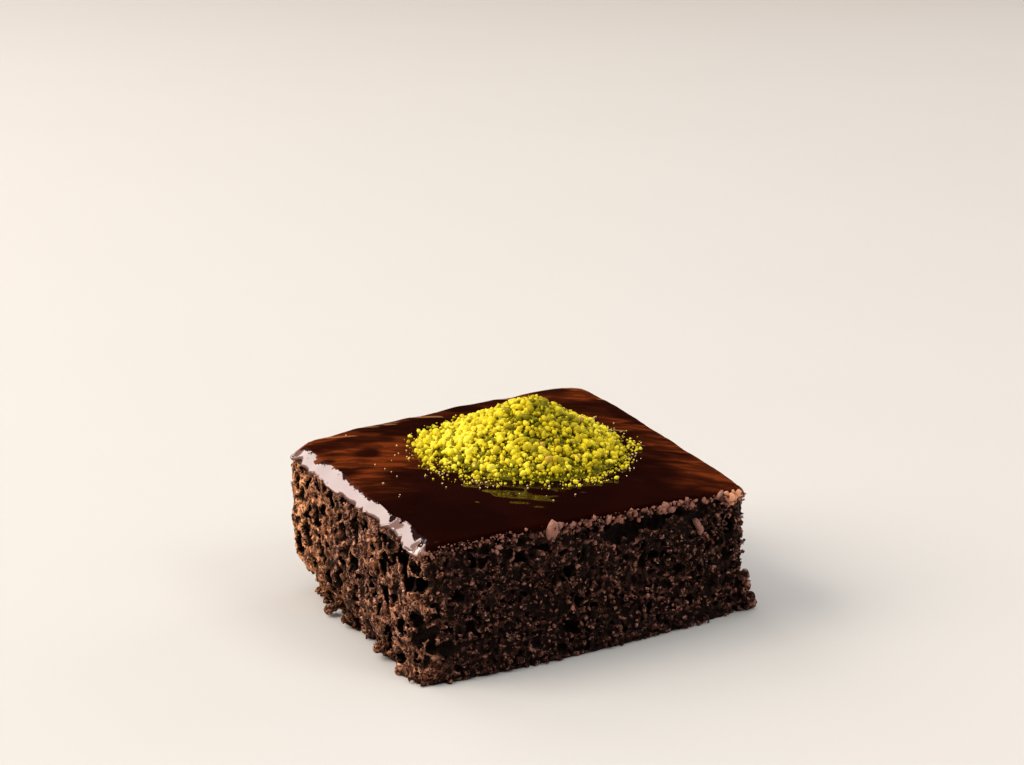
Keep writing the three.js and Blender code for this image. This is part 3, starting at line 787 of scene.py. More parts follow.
class CAKE_OT_crumb(bpy.types.Operator):
    """Carve the open crumb of the four cut sides"""

    bl_idname = "cake.crumb"
    bl_label = "Crumb"

    def execute(self, context):
        s = context.scene.cake_crumb
        rng = np.random.default_rng(11)
        step = s.voxel * 1
        block = Block(step)
        x, y, z, side = block.x, block.y, block.z, block.side
        px, py, pz = x[:, None, None], y[None, :, None], z[None, None, :]

        # Only the places near the cut sides are carved, and all that is carved is bent by one warp.
        near = np.nonzero((side > -CARVED) & (side < 2.6) & (pz < block.top[:, :, None] + 1.5))
        spots = x[near[0]], y[near[1]], z[near[2]]
        warp = np.zeros((3, *side.shape), np.float32)
        for k in range(3):
            warp[k][near] = rough(*spots, (0.95, 1.15, 3 + k, 0.5), (1.2, 3.4, 13 + k, 0.5))
        uneven = (s.relief * 1.7, 3.1, 1, 0.45), (s.relief * 1.5, 1.3, 2, 0.45), (0.9, 13, 6, 0.45)
        cut = side.copy()
        cut[near] += rough(*spots, *uneven)
        skin = cut.copy()

        def ball(field, centre, radius, tall, hollow):
            """Takes a warped, upright ball out of the field, or adds one to it."""
            reach = radius * max(1, tall) + 1.9
            i0, i1 = np.searchsorted(x, [centre[0] - reach, centre[0] + reach])
            j0, j1 = np.searchsorted(y, [centre[1] - reach, centre[1] + reach])
            k0, k1 = np.searchsorted(z, [centre[2] - reach, centre[2] + reach])
            box = np.s_[i0:i1, j0:j1, k0:k1]
            if i1 <= i0 or j1 <= j0 or k1 <= k0:
                return
            dx = px[i0:i1] + warp[0][box] - centre[0]
            dy = py[:, j0:j1] + warp[1][box] - centre[1]
            dz = (pz[:, :, k0:k1] + warp[2][box] - centre[2]) / tall
            out = np.sqrt(dx * dx + dy * dy + dz * dz) - radius
            if hollow:
                np.maximum(field[box], -out, out=field[box])
            else:
                np.minimum(field[box], out, out=field[box])

        def cluster(centre, radius, tall, hollow, count):
            """A group of smaller balls round one place."""
            for _ in range(count):
                part = np.array(centre) + rng.normal(0, 0.4 * radius, 3) * (1, 1, 0.6)
                ball(cut, (*part[:2], max(0.8, part[2])), radius * rng.uniform(0.4, 0.75), tall, hollow)

        def bubbles(spacing, tall, depth, share, sizes, calm=0.0):
            """Takes out scattered bubbles to some depth, fewer in the calm patches."""
            steps = (spacing, spacing, spacing * tall)
            rows = [np.arange(*span, step) for span, step in zip(((-50, 50), (-44, 44), (0.8, 42)), steps)]
            grid = np.stack(np.meshgrid(*rows, indexing="ij"), -1).reshape(-1, 3)
            grid += rng.uniform(-0.45, 0.45, grid.shape) * steps
            away, ox, oy, limit = block.at(*grid.T)
            wanted = by_side(share, ox, oy)
            if calm:
                wanted = wanted * (1 - calm * ease((noise(*grid.T, 9, 17) - 0.45) / 0.25))
            keep = (away > -depth) & (away < np.where(grid[:, 2] < 5, 2.2, 0.4))
            keep &= rng.random(len(grid)) < wanted
            keep &= (grid[:, 2] > 0.5) & (grid[:, 2] < limit + 0.5)
            for centre in grid[keep]:
                ball(cut, centre, spacing * rng.uniform(*sizes), tall * rng.uniform(0.85, 1.3), True)

        # Small lumps all along the foot, then the undercut and the lumps that have a place of their own.
        around = outline(FOOT, BOW_FOOT, 200)
        for edge, out in zip(around, outwards(around)):
            if rng.random() < by_side((0.32, 0.3, 0.32, 0.6), *out):
                radius = float(by_side((1.1, 1.2, 1.3, 1.4), *out)) * rng.uniform(0.55, 1.5)
                spot = edge - out * radius * rng.uniform(0.2, 0.8)
                ball(cut, (*spot, rng.uniform(0.3, 1.8) + 0.4 * radius), radius, 0.85, False)
        for centre, radius, tall in UNDERCUTS:
            ball(cut, centre, radius, tall, True)
        for centre, radius, tall in FOOT_LUMPS:
            cluster(centre, radius, tall, False, 5)

        ox, oy = block.nx[near[:2]], block.ny[near[:2]]
        bent = [spot + push[near] for spot, push in zip(spots, warp)]
        crumb = cut[near]

        def foam(size, tall, share, wall, deep, seed):
            """Hollows out whole cells near the cut sides and leaves thin walls between them."""
            off, reach, pick, (mx, my, mz) = cells(bent[0], bent[1], bent[2] / tall, size, seed)
            mz = mz * tall
            away, sx, sy, limit = block.at(mx, my, mz)
            hollow = (pick < by_side(share, sx, sy)) & (away > -deep) & (mz > 1.5) & (mz < limit)
            for cx, cy in WHOLE_CORNERS:
                hollow &= np.hypot(mx - cx, my - cy) > WHOLE_CORNER_REACH
            width = size * (0.5 + 0.35 * ((pick * 97) % 1))
            return np.where(hollow, np.minimum(off - wall, width - reach), -FIELD_LIMIT)

        # Torn clumps with cracks between them on the front, and open foam on the other sides.
        off, _, pick, _ = cells(bent[0], bent[1], bent[2] / 0.8, s.fine, 6)
        torn = by_side((1, 0.6, 0.3, 0.2), ox, oy)
        crumb += torn * 1.1 * (pick - 0.5)
        cracks = np.minimum(0.25 - off, 1.1 * torn + side[near])
        crumb = np.maximum(crumb, np.where(torn > 0.25, cracks, -FIELD_LIMIT))
        crumb = np.maximum(crumb, foam(s.coarse, 1.25, (0.05, 0.6, 0.9, 0.92), 0.3, 5.6, 3))
        crumb = np.maximum(crumb, foam(0.6 * s.coarse, 1.15, (0.15, 0.5, 0.62, 0.66), 0.27, 3.2, 4))
        cut[near] = crumb
        for centre, radius, tall in CORNER_LUMPS:
            ball(cut, centre, 0.8 * radius, tall, False)
            cluster(centre, radius, tall, False, 5)

        bubbles(1.4, 0.9, 2.2, (0.5, 0.35, 0.1, 0.05), (0.36, 0.6), 0.45)
        bubbles(6.5, 1.0, 2.8, (0.05, 0.12, 0.12, 0.12), (0.24, 0.36))
        for centre, radius, tall in VOIDS:
            cluster(centre, 1.5 * radius, tall, True, 7)

        # How full of crumb the surroundings of each place are, for the painted shade in the hollows and the
        # painted light on the ridges.
        reach = max(1, round(1.2 / step))
        full = (cut < 0).astype(np.float32)
        for axis in range(3):
            total = np.cumsum(full, axis=axis)
            at = np.arange(full.shape[axis])
            upper = np.take(total, np.clip(at + reach, 0, len(at) - 1), axis)
            full = (upper - np.take(total, np.clip(at - reach - 1, 0, len(at) - 1), axis)) / (2 * reach + 1)

        ceiling = pz - block.top[:, :, None] - 0.35
        look = crumb_material(s)
        for k, name in enumerate(SIDES):
            solid = np.maximum(cut, block.sector(k)[:, :, None] - 0.05)
            solid = np.maximum(solid, -(side + SIDE_THICKNESS))
            solid = np.maximum(np.maximum(solid, ceiling), -pz)
            grid = openvdb.FloatGrid(FIELD_LIMIT)
            grid.copyFromArray(np.clip(solid, -FIELD_LIMIT, FIELD_LIMIT))
            points, triangles, quads = grid.convertToPolygons(isovalue=0.0, adaptivity=0.01)
            faces = [f[:, ::-1] for f in (triangles.astype(np.int64), quads.astype(np.int64)) if len(f)]
            points, faces = largest_body(points, faces)
            obj = mesh_of("crumb_" + name, points * step + (x[0], y[0], z[0]), faces, look)
            total = sum(len(f) * (f.shape[1] - 2) for f in faces)
            if total > MOST_TRIANGLES:
                apply_modifier(obj, "DECIMATE", ratio=MOST_TRIANGLES / total)
            points = points_of(obj)
            cell = block.cell(*points.T)
            mark(obj, "depth", np.clip(-skin[cell], 0, 9))
            mark(obj, "full", full[cell])
            mark(obj, "painted_backlight", painted_backlight_share(points))
            settle(obj, "sponge" if name == "front" else None)

        bm = bmesh.new()
        bmesh.ops.create_cube(bm, size=1)
        for vert in bm.verts:
            vert.co.x, vert.co.y = vert.co.x * 80, vert.co.y * 61
            vert.co.z = 0 if vert.co.z < 0 else float(top_height(vert.co.x, vert.co.y)) - 0.8
        inner = object_from("crumb_middle", bm, look, smooth=False)
        for name, value in (("depth", 0), ("full", 0.5), ("painted_backlight", 0)):
            mark(inner, name, np.full(8, value))
        settle(inner)
        return {"FINISHED"}


class CAKE_OT_grains(bpy.types.Operator):
    """Strew the crumb grains on the cut sides, and the glazed lumps along the brim"""

    bl_idname = "cake.grains"
    bl_label = "Crumb grains"

    def execute(self, context):
        s = context.scene.cake_crumb
        rng = np.random.default_rng(31)
        look = grain_material(s)
        shapes = [lump_template(11, 0.4, 90 + k) for k in range(8)]
        parts = {"grains_front": ("front",), "grains_left": ("left",), "grains_rear": ("right", "back")}
        for name, sides in parts.items():
            meshes = [bpy.data.objects["crumb_" + side].data for side in sides]
            points = np.concatenate([values_of(mesh.vertices, "co", 3) / MM for mesh in meshes])
            normals = np.concatenate([values_of(mesh.vertices, "normal", 3) for mesh in meshes])
            depth = np.concatenate([values_of(mesh.attributes["depth"].data, "value") for mesh in meshes])
            weight = np.exp(-((depth / 0.7) ** 2)) * (depth < 7) * (points[:, 2] > 0.15)
            weight *= 0.35 + 1.3 * ease((noise(*points.T, 5, 71) - 0.3) / 0.4)
            if name == "grains_front":
                weight *= 1 + 1.5 * ease((10 - points[:, 2]) / 8)
            count = round(s.grains * (1.4 if name == "grains_left" else 1))
            picked = rng.choice(len(points), count, replace=False, p=weight / weight.sum())
            radius = 0.12 + (0.27 if name == "grains_front" else 0.17) * rng.random(count) ** 2.6
            places = points[picked] + normals[picked] * (0.35 * radius)[:, None]
            places[:, 2] = np.maximum(places[:, 2], 2.1 * radius)
            lumps, faces, owner = scatter(shapes, places, radius, rng, (0.35, 1.5))
            obj = mesh_of(name, lumps, faces, look, smooth=False)
            mark(obj, "tone", (rng.random(count) * (0.72 + 0.28 * ease(places[:, 2] / 12)))[owner])
            mark(obj, "painted_backlight", painted_backlight_share(places)[owner])
            settle(obj)

        edge = outline(BRIM, BOW_BRIM, 1200)
        out = outwards(edge)
        share = by_side((1.0, 0.05, 0.03, 0.14), *out.T)
        share = share * (0.25 + 1.4 * ease((noise(*edge.T, 0, 4.5, 81) - 0.3) / 0.4))
        chosen = np.nonzero(rng.random(len(edge)) < share)[0]
        radius = 0.2 + (0.4 + 0.45 * ease((edge[chosen, 0] + 24) / 16)) * rng.random(len(chosen)) ** 2.6
        drop = by_side(DROP, *out[chosen].T)
        spots = edge[chosen] - out[chosen] * (0.6 * radius)[:, None]
        heights = top_height(*edge[chosen].T) - drop + 0.5 - radius * rng.uniform(0.1, 1.0, len(chosen))
        heights -= 2.6 * rng.random(len(chosen)) ** 1.8
        places = np.column_stack([spots, heights])
        places = np.concatenate([places, [(x, y, z) for x, y, z, _ in BRIM_LUMPS]])
        radius = np.concatenate([radius, [r for _, _, _, r in BRIM_LUMPS]])
        shapes = [lump_template(22, 0.5, 120 + k) for k in range(6)]
        lumps, faces, owner = scatter(shapes, places, radius, rng, (0.35, 1.5))
        obj = mesh_of("brim_lumps", lumps, faces, glazed_material(s))
        tone = 0.85 * rng.random(len(places)) ** 1.2
        tone[-len(BRIM_LUMPS):] = [0.85 if x < 38 else 1 for x, _, _, _ in BRIM_LUMPS]
        mark(obj, "tone", tone[owner])
        settle(obj)
        return {"FINISHED"}


def waves(x, y):
    """The slow ripples of the sauce, from about -0.5 to 0.5."""
    bent = x + 3 * noise(x, y, 0, 11, 14), y + 3 * noise(x, y, 0, 12, 15)
    along, across = (0.868 * bent[0] - 0.496 * bent[1]) / 2.3, 0.496 * bent[0] + 0.868 * bent[1]
    slow = noise(along, across, 0, 5.2, 4)
    quick = noise(along, across, 0, 2.3, 5)
    return (0.7 * slow + 0.3 * quick - 0.5) * (1 - 0.7 * ease((-26 - y) / 9))


def shoulder_depth(brim, shoulder, x, y):
    """How far a place lies outside the crease where the sauce turns down to the brim."""
    return brim + shoulder * (1 + 0.3 * (noise(x, y, 0, 6.5, 8) - 0.5) * ease(shoulder - 1))


def sauce_top(x, y, s):
    """The sauce's upper surface, with its ripples and its rounded shoulder."""
    brim, nx, ny = brim_distance(x, y, 160)
    shoulder, drop = by_side(SHOULDER, nx, ny), by_side(DROP, nx, ny)
    shoulder = np.maximum(np.where(shoulder < 2, 0.3 + (shoulder - 1.2) * 2.8, shoulder), 0.3)
    into = np.maximum(shoulder_depth(brim, shoulder, x, y), 0)
    fall = np.minimum(into * (s.thickness - 0.4 + drop) / shoulder, s.thickness - 0.3 + drop)
    calm = 1 - 0.85 * np.clip(into / shoulder, 0, 1)
    return top_height(x, y) + s.thickness + s.ripple * waves(x, y) * calm - fall


class CAKE_OT_sauce(bpy.types.Operator):
    """Pour the set sauce over the top, with its shoulder and its uneven lip"""

    bl_idname = "cake.sauce"
    bl_label = "Sauce"

    def execute(self, context):
        s = context.scene.cake_sauce
        rings = 112
        bm = bmesh.new()
        bmesh.ops.create_grid(bm, x_segments=2 * rings, y_segments=2 * rings, size=1)
        bm.verts.ensure_lookup_table()
        square = np.array([v.co for v in bm.verts])[:, :2]
        u, v = square.T
        reach = np.maximum(np.abs(u), np.abs(v))
        with np.errstate(invalid="ignore", divide="ignore"):
            a, b = np.nan_to_num(u / reach), np.nan_to_num(v / reach)
        # How far round the square each point is, in sides from the front left corner.
        on_side = [(b <= -0.999999) & (a < 1), a >= 0.999999, b >= 0.999999]
        turn = np.select(on_side, [(a + 1) / 2, 1 + (b + 1) / 2, 2 + (1 - a) / 2], 3 + (1 - b) / 2)
        edge = outline(BRIM, BOW_BRIM, EDGE_POINTS)
        corner_steps = np.argmin(np.linalg.norm(edge[:, None] - np.array(BRIM)[None], axis=2), axis=0)
        knots = np.array([*corner_steps, corner_steps[0] + EDGE_POINTS])
        at = np.interp(turn, [0, 1, 2, 3, 4], knots) % EDGE_POINTS
        ex, ey = (np.interp(at, np.arange(EDGE_POINTS + 1), np.append(row, row[0])) for row in edge.T)
        out = outwards(edge)[np.round(at).astype(int) % EDGE_POINTS]
        ring = np.round(reach * rings).astype(int)
        side_rings = 6
        last = rings - side_rings
        share = np.clip(ring / last, 0, 1) ** 0.82
        below = ring > last
        down = np.clip((ring - last) / side_rings, 0, 1)
        # The brim's points are pushed in and out, most on the left and least at the front left corner.
        jag = rough(ex, ey, 0, (0.9, 2.6, 24, 0.4), (0.6, 5.5, 25, 0.45), (0.5, 1.2, 26, 0.5))
        jag *= by_side((1, 1, 1, 1.9), *out.T)
        jag *= 1 - 0.85 * np.exp(-((ex + 47) ** 2 + (ey + 38) ** 2) / 40)
        pull = np.where(below, -0.05 + 0.35 * down**2, 0) + jag * ease((ring - last + 7) / 7)
        x, y = ex * share - out[:, 0] * pull, ey * share - out[:, 1] * pull
        z = sauce_top(x, y, s)
        level = top_height(ex, ey)
        drop = by_side(DROP, *out.T)
        run = by_side((0.4, s.run, 1.1 * s.run, s.run), *out.T)
        ragged = 0.1 + 1.5 * noise(ex, ey, 0, 5, 21) ** 2 + 1.7 * noise(ex, ey, 0, 1.9, 22) ** 2.5
        ragged += 0.5 * (noise(ex, ey, 0, 0.9, 23) - 0.5)
        foot = level - drop - run * ragged
        z = np.where(below, z + (foot - z) * down, z)
        for vert, co in zip(bm.verts, np.stack([x, y, z], 1)):
            vert.co = co

        def extruded(loop):
            """A new rim grown from the last one, and its points."""
            made = bmesh.ops.extrude_edge_only(bm, edges=loop)["geom"]
            loop = [g for g in made if isinstance(g, bmesh.types.BMEdge) and g.is_boundary]
            return loop, {v for e in loop for v in e.verts}

        # The lip is turned in under the sauce, which is then closed with a level underside.
        loop = [e for e in bm.edges if e.is_boundary]
        for rise in (0.0, 1.0):
            loop, verts = extruded(loop)
            for vert in verts:
                flat = Vector((vert.co.x, vert.co.y)).normalized() * 0.7
                vert.co -= Vector((flat.x, flat.y, -rise))
        for shrink in (0.9, 0.6 / 0.9, 0.25 / 0.6):
            loop, verts = extruded(loop)
            for vert in verts:
                vert.co.x *= shrink
                vert.co.y *= shrink
                vert.co.z = float(top_height(vert.co.x, vert.co.y)) + 0.1
        bmesh.ops.holes_fill(bm, edges=loop)
        bmesh.ops.recalc_face_normals(bm, faces=bm.faces)
        obj = object_from("sauce", bm, sauce_material(s))
        x, y, _ = points_of(obj).T
        away, nx, ny = brim_distance(x, y)
        # Partly thinner sauce, partly painted highlight: the sauce is painted lighter at the left, right
        # and back, in streaks along the ripples.
        left = ease((-x - 11) / 30) * ease((y + 14) / 42)
        right = 0.45 * ease((x - 22) / 26)
        back = 0.4 * ease((y - 22) / 22)
        thin = 1 - (1 - left) * (1 - right) * (1 - back)
        thin *= 0.15 + 2.3 * ease(0.4 - 3.2 * waves(x, y)) * (0.35 + noise(x, y, 0, 6, 31))
        mark(obj, "thin", np.clip(thin, 0, 1))
        facing = values_of(obj.data.vertices, "normal", 3)[:, 2]
        least = by_side((0.945, 0.35, 0.35, 0.3), nx, ny)
        shine = ease((facing - least) / by_side((0.03, 0.3, 0.3, 0.35), nx, ny))
        mark(obj, "shine", shine * (1 - by_side((1, 0, 0, 0), nx, ny) * ease((away + 1.6) / 0.8)))
        shoulder = by_side(SHOULDER, nx, ny)
        lip = shoulder_depth(away + 0.35, shoulder, x, y)
        mark(obj, "lip", (lip + 5) * by_side((0, 0, 0.3, 1), nx, ny) - 5)
        # Partly thin sauce, partly painted rim light along the right and back brim, weaker on the left.
        brink_and_rim_light = ease(1 + away / (0.8 + 2.2 * noise(x, y, 0, 3.5, 33))) * by_side((0, 1, 1, 0.3), nx, ny)
        mark(obj, "brink_and_rim_light", brink_and_rim_light * ease((facing - 0.2) / 0.3))
        settle(obj, "chocolate_sauce")
        return {"FINISHED"}


# Groups of loose bits: direction in degrees, share of the way out, spread, number and radius.
LOOSE_GROUPS = [
    (-165, 0.98, 0.07, 26, 0.95),
    (172, 0.96, 0.06, 18, 1.0),
    (156, 1.04, 0.04, 7, 0.75),
    (-141, 1.08, 0.04, 12, 0.5),
    (-128, 1.2, 0.04, 7, 0.25),
    (-118, 1.16, 0.04, 8, 0.25),
    (-50, 1.03, 0.03, 5, 0.4),
    (-20, 1.02, 0.03, 8, 0.6),
    (12, 1.08, 0.04, 12, 0.5),
    (35, 1.1, 0.06, 26, 0.2),
]

# Groups of fine pale specks: direction in degrees, share of the way out, spread and number.
DUST_GROUPS = [
    (-100, 1.05, 0.07, 26),
    (-128, 1.12, 0.08, 22),
    (-165, 1.14, 0.07, 14),
    (-60, 1.04, 0.06, 18),
    (-25, 1.05, 0.05, 18),
    (0, 1.08, 0.05, 16),
    (30, 1.12, 0.06, 16),
    (60, 1.2, 0.12, 8),
    (-175, 1.6, 0.16, 5),
    (-145, 1.5, 0.16, 4),
    (-80, 1.25, 0.1, 4),
]

# How many degrees of the heap's round a group of bits takes up, for its spread outwards of 1.
GROUP_WIDTH = 160

HEAP_MIDDLE = np.array([3.7, 3.1])
HEAP_LEAN = 1.6


def heap_plan(angle, reach, s):
    """A place on the heap, by its direction and its share of the way out."""
    along = s.half_length * reach * np.cos(angle) + HEAP_LEAN * np.clip(1 - reach, 0, 1)
    across = s.half_depth * reach * np.sin(angle)
    c, t = math.cos(TURN), math.sin(TURN)
    return HEAP_MIDDLE[0] + along * c - across * t, HEAP_MIDDLE[1] + along * t + across * c


def heap_height(angle, reach, s):
    """The heap's height over the sauce: a cone with a slightly blunt tip, and a hollow left flank."""
    blunt = 0.07
    fall = (np.hypot(reach, blunt) - blunt) / (math.hypot(1, blunt) - blunt)
    fall = fall + 0.12 * np.sin(np.clip(reach, 0, 1) * math.pi) * ease((-np.cos(angle) - 0.1) / 0.8)
    return s.height + (0.5 - s.height) * np.clip(fall, 0, 1)


class CAKE_OT_heap(bpy.types.Operator):
    """Heap the ground pistachio on the sauce"""

    bl_idname = "cake.heap"
    bl_label = "Pistachio heap"

    def execute(self, context):
        s = context.scene.cake_heap
        sauce = context.scene.cake_sauce
        rng = np.random.default_rng(5)
        look = nut_material(s)

        bm = bmesh.new()
        bmesh.ops.create_circle(bm, segments=96, radius=1, cap_ends=True, cap_tris=True)
        spokes = [e for e in bm.edges if not e.is_boundary]
        bmesh.ops.subdivide_edges(bm, edges=spokes, cuts=18, use_grid_fill=True)
        flat = np.array([v.co for v in bm.verts])
        angle, reach = np.arctan2(flat[:, 1], flat[:, 0]), np.hypot(flat[:, 0], flat[:, 1])
        out = reach * (0.93 - 0.1 * ease((-np.cos(angle) - 0.2) / 0.6))
        x, y = heap_plan(angle, out, s)
        z = sauce_top(x, y, sauce) + np.maximum(heap_height(angle, out, s) - 1.0 - 0.8 * reach**6, -0.6)
        z += 0.7 * (noise(x, y, 0, 2.2, 41) - 0.5) * (reach < 0.99)
        for vert, co in zip(bm.verts, np.stack([x, y, z], 1)):
            vert.co = co
        rim = [e for e in bm.edges if e.is_boundary]
        made = bmesh.ops.extrude_edge_only(bm, edges=rim)["geom"]
        for vert in [g for g in made if isinstance(g, bmesh.types.BMVert)]:
            vert.co.z -= 0.6
        bmesh.ops.holes_fill(bm, edges=[e for e in bm.edges if e.is_boundary])
        bmesh.ops.recalc_face_normals(bm, faces=bm.faces)
        core = object_from("heap_core", bm, look)
        # Painted shade: the core shows only in the gaps between the bits, so it takes the darkest tone.
        mark(core, "tone", np.full(len(core.data.vertices), 0.02))
        settle(core)

        def piled(count, sizes, sink, most):
            """Where the bits lie, evenly strewn from the heap's tip outwards, and how large they are."""
            order = np.arange(count) + 0.5
            reach = most * np.sqrt(order / count)
            angle = order * GOLDEN_ANGLE + rng.uniform(-0.5, 0.5, count)
            reach = np.clip(reach + rng.normal(0, 0.012, count), 0, most * 1.02)
            x, y = heap_plan(angle, reach, s)
            spread = 0.35 + 0.8 * np.clip(1 - reach / 0.2, 0, 1)
            x, y = x + spread * rng.normal(size=count), y + spread * rng.normal(size=count)
            radius = sizes[0] + (sizes[1] - sizes[0]) * rng.random(count) ** 2.3
            lift = heap_height(angle, reach, s) - sink * radius + rng.uniform(-0.15, 0.35, count)
            sparse = ease((reach - 0.8) / 0.12) * ease((-np.cos(angle) - 0.2) / 0.6)
            lift = np.maximum(lift * (1 - sparse), 0.55 * radius)
            kept = rng.random(count) > 0.6 * sparse
            return np.stack([x, y, sauce_top(x, y, sauce) + lift], 1)[kept], radius[kept]

        coarse = [lump_template(24, 0.3, k) for k in range(8)]
        fine = [lump_template(12, 0.3, 10 + k) for k in range(6)]
        for name, templates, count, sizes, sink, most in (
            ("heap_bits", coarse, s.bits, (0.42, 1.15), 0.05, 0.92),
            ("heap_meal", fine, s.meal, (0.16, 0.45), 0.9, 0.97),
        ):
            places, radius = piled(count, sizes, sink, most)
            count = len(places)
            points, faces, owner = scatter(templates, places, radius, rng)
            bits = mesh_of(name, points, faces, look)
            tone = rng.beta(2.4, 1.8, count) * 0.93
            # Painted light and shade: bits on the heap's left are paler, as if lit, and those round (7, -3)
            # darker.
            shaded = np.exp(-((places[:, 0] - 7) ** 2 + (places[:, 1] + 3) ** 2) / 150)
            tone += 0.06 + 0.26 * ease((-places[:, 0] - 1) / 18) - 0.36 * shaded
            tone = np.clip(tone, 0, 0.88)
            tone[rng.random(count) < 0.015] = 0.95
            tone[rng.random(count) < 0.09] = 0.04
            # Painted shade: the small bits between the larger ones are darker.
            if name == "heap_meal":
                tone *= 0.6
            mark(bits, "tone", tone[owner])
            settle(bits, "pistachio_heap" if name == "heap_bits" else None)
        return {"FINISHED"}


class CAKE_OT_loose_nuts(bpy.types.Operator):
    """Scatter loose bits of nut on the sauce round the heap"""

    bl_idname = "cake.loose_nuts"
    bl_label = "Loose bits"

    def execute(self, context):
        s = context.scene.cake_heap
        sauce = context.scene.cake_sauce
        rng = np.random.default_rng(23)
        count = s.loose
        angle = rng.uniform(0, 2 * math.pi, 6 * count)
        reach = 0.93 + np.abs(rng.normal(0, 0.08, len(angle)))
        drift = noise(3 * np.cos(angle), 3 * np.sin(angle), 8, 1.1, 51)
        keep = np.nonzero(drift > rng.uniform(0.2, 0.7, len(angle)))[0][:count]
        angle, reach = angle[keep], reach[keep]
        many = len(angle)
        radius = rng.uniform(0.14, 0.36, many) + 0.4 * (rng.random(many) < 0.25) * rng.random(many)

        def grouped(middle, far, spread, number):
            turn = np.radians(rng.normal(middle, GROUP_WIDTH * spread, number))
            return np.append(angle, turn), np.append(reach, rng.normal(far, spread, number))

        for *group, size in LOOSE_GROUPS:
            angle, reach = grouped(*group)
            radius = np.append(radius, size * rng.uniform(0.45, 1.1, group[-1]))
        bits = len(angle)
        for group in DUST_GROUPS:
            angle, reach = grouped(*group)
        radius = np.append(radius, rng.uniform(0.11, 0.24, len(angle) - bits))
        dusty = np.arange(len(angle)) >= bits
        x, y = heap_plan(angle, reach, s)
        away, _, _ = brim_distance(x, y)
        level = away < -4
        x, y, radius, dusty = x[level], y[level], radius[level], dusty[level]
        places = np.stack([x, y, sauce_top(x, y, sauce) + 0.6 * radius], 1)
        shapes = [lump_template(20, 0.3, 70 + k) for k in range(5)]
        points, faces, owner = scatter(shapes, places, radius, rng)
        obj = mesh_of("loose_bits", points, faces, bpy.data.materials["ground_pistachio"])
        mark(obj, "tone", np.where(dusty, 1, np.minimum(rng.beta(2.4, 1.8, len(x)), 0.88))[owner])
        settle(obj)
        return {"FINISHED"}


VIEW_FROM = Vector((-242.0, -421.1, 193.4))
VIEW_ALONG = Vector((0.47774, 0.83633, -0.26890))


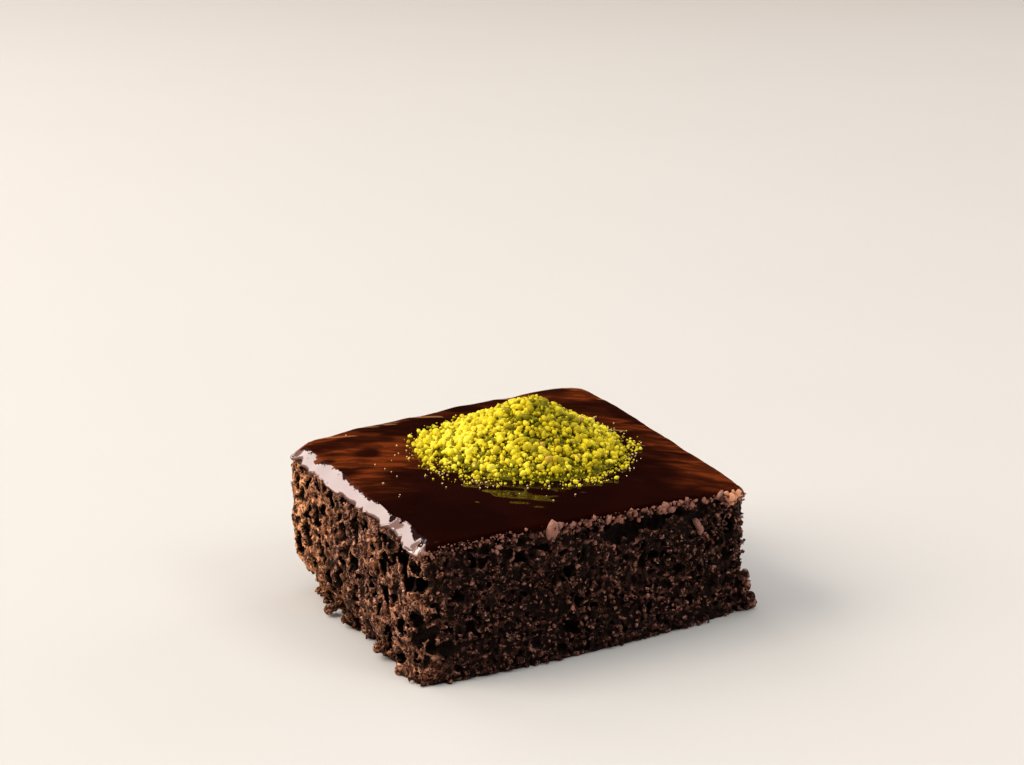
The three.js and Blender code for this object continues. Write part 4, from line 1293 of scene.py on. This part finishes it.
class CAKE_OT_stage(bpy.types.Operator):
    """Set the floor, the lights and the camera"""

    bl_idname = "cake.stage"
    bl_label = "Stage"

    def execute(self, context):
        s = context.scene.cake_stage
        scene = context.scene
        bm = bmesh.new()
        bmesh.ops.create_grid(bm, x_segments=1, y_segments=1, size=6000)
        floor = object_from("floor", bm, floor_material(s), smooth=False)

        data = bpy.data.cameras.new("view")
        data.sensor_fit = "HORIZONTAL"
        data.sensor_width = 36
        data.lens = s.lens
        data.clip_start, data.clip_end = 0.01, 50
        camera = bpy.data.objects.new("view", data)
        camera.location = VIEW_FROM * MM
        camera.rotation_euler = VIEW_ALONG.to_track_quat("-Z", "Y").to_euler()
        scene.collection.objects.link(camera)
        scene.camera = camera

        def panel(name, azimuth, elevation, distance, width, height, power, tint=(1, 1, 1)):
            """A soft panel that faces the cake. Azimuth 0 is behind it, and positive is to the right."""
            a, e = math.radians(azimuth), math.radians(elevation)
            towards = Vector((math.sin(a) * math.cos(e), math.cos(a) * math.cos(e), math.sin(e)))
            light = bpy.data.lights.new(name, "AREA")
            light.shape = "RECTANGLE"
            light.size, light.size_y = width, height
            light.energy = power
            light.color = tint
            lamp = bpy.data.objects.new(name, light)
            lamp.location = towards * distance + Vector((0, 0, 0.03))
            lamp.rotation_euler = (-towards).to_track_quat("-Z", "Y").to_euler()
            scene.collection.objects.link(lamp)

        panel("window", -11, 31, 3.4, 2.1, 1.65, s.window, (1, 0.92, 0.885))
        panel("low_window", 31, 6.5, 3.4, 2.2, 0.45, s.low_window, (1, 0.46, 0.15))
        panel("overhead", 180, 88, 3.0, 5.0, 5.0, s.overhead)
        panel("rim", 82, 20, 2.4, 1.2, 0.9, s.rim, (1, 0.95, 0.88))
        panel("front", 150, 42, 1.3, 0.5, 0.5, s.front)
        panel("left", -66, 36, 2.4, 1.6, 1.6, s.left, (1, 0.9, 0.79))

        # The room is darker behind the cake, where the sauce mirrors it.
        world = bpy.data.worlds.new("room")
        world.use_nodes = True
        tree = world.node_tree
        background = tree.nodes["Background"]
        background.inputs["Color"].default_value = (1, 0.985, 0.96, 1)
        direction = tree.nodes.new("ShaderNodeTexCoord").outputs["Generated"]
        towards = tree.nodes.new("ShaderNodeVectorMath")
        towards.operation = "DOT_PRODUCT"
        towards.inputs[1].default_value = (0.48, 0.83, 0.27)
        tree.links.new(direction, towards.inputs[0])
        shade = tree.nodes.new("ShaderNodeMapRange")
        for socket, number in zip(RANGE_SOCKETS, (0.6, 0.88, s.sky, 0.03 * s.sky)):
            shade.inputs[socket].default_value = number
        tree.links.new(towards.outputs["Value"], shade.inputs["Value"])
        tree.links.new(shade.outputs["Result"], background.inputs["Strength"])
        scene.world = world
        scene.view_settings.view_transform = "Standard"
        return {"FINISHED"}


class CAKE_PT_panel(bpy.types.Panel):
    """Lists the steps that build the cake, each with its button and its settings."""

    bl_label = "Wet chocolate cake"
    bl_idname = "CAKE_PT_panel"
    bl_space_type = "VIEW_3D"
    bl_region_type = "UI"
    bl_category = "Cake"

    def draw(self, context):
        for operator, group in STEPS:
            box = self.layout.box()
            box.operator(operator.bl_idname)
            if group:
                for name in getattr(context.scene, group).bl_rna.properties.keys():
                    if name not in ("rna_type", "name"):
                        box.prop(getattr(context.scene, group), name)


GROUPS = {"cake_crumb": CakeCrumb, "cake_sauce": CakeSauce, "cake_heap": CakeHeap, "cake_stage": CakeStage}
STEPS = [
    (CAKE_OT_stage, "cake_stage"),
    (CAKE_OT_crumb, "cake_crumb"),
    (CAKE_OT_grains, None),
    (CAKE_OT_sauce, "cake_sauce"),
    (CAKE_OT_heap, "cake_heap"),
    (CAKE_OT_loose_nuts, None),
]


def register():
    for group in GROUPS.values():
        bpy.utils.register_class(group)
    for operator, _ in STEPS:
        bpy.utils.register_class(operator)
    bpy.utils.register_class(CAKE_PT_panel)
    for name, group in GROUPS.items():
        setattr(bpy.types.Scene, name, PointerProperty(type=group))


def unregister():
    for name in GROUPS:
        delattr(bpy.types.Scene, name)
    bpy.utils.unregister_class(CAKE_PT_panel)
    for operator, _ in reversed(STEPS):
        bpy.utils.unregister_class(operator)
    for group in reversed(GROUPS.values()):
        bpy.utils.unregister_class(group)


def main():
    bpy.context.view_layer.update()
    register()
    bpy.ops.cake.stage()
    bpy.ops.cake.crumb()
    bpy.ops.cake.grains()
    bpy.ops.cake.sauce()
    bpy.ops.cake.heap()
    bpy.ops.cake.loose_nuts()


if __name__ == "__main__":
    main()
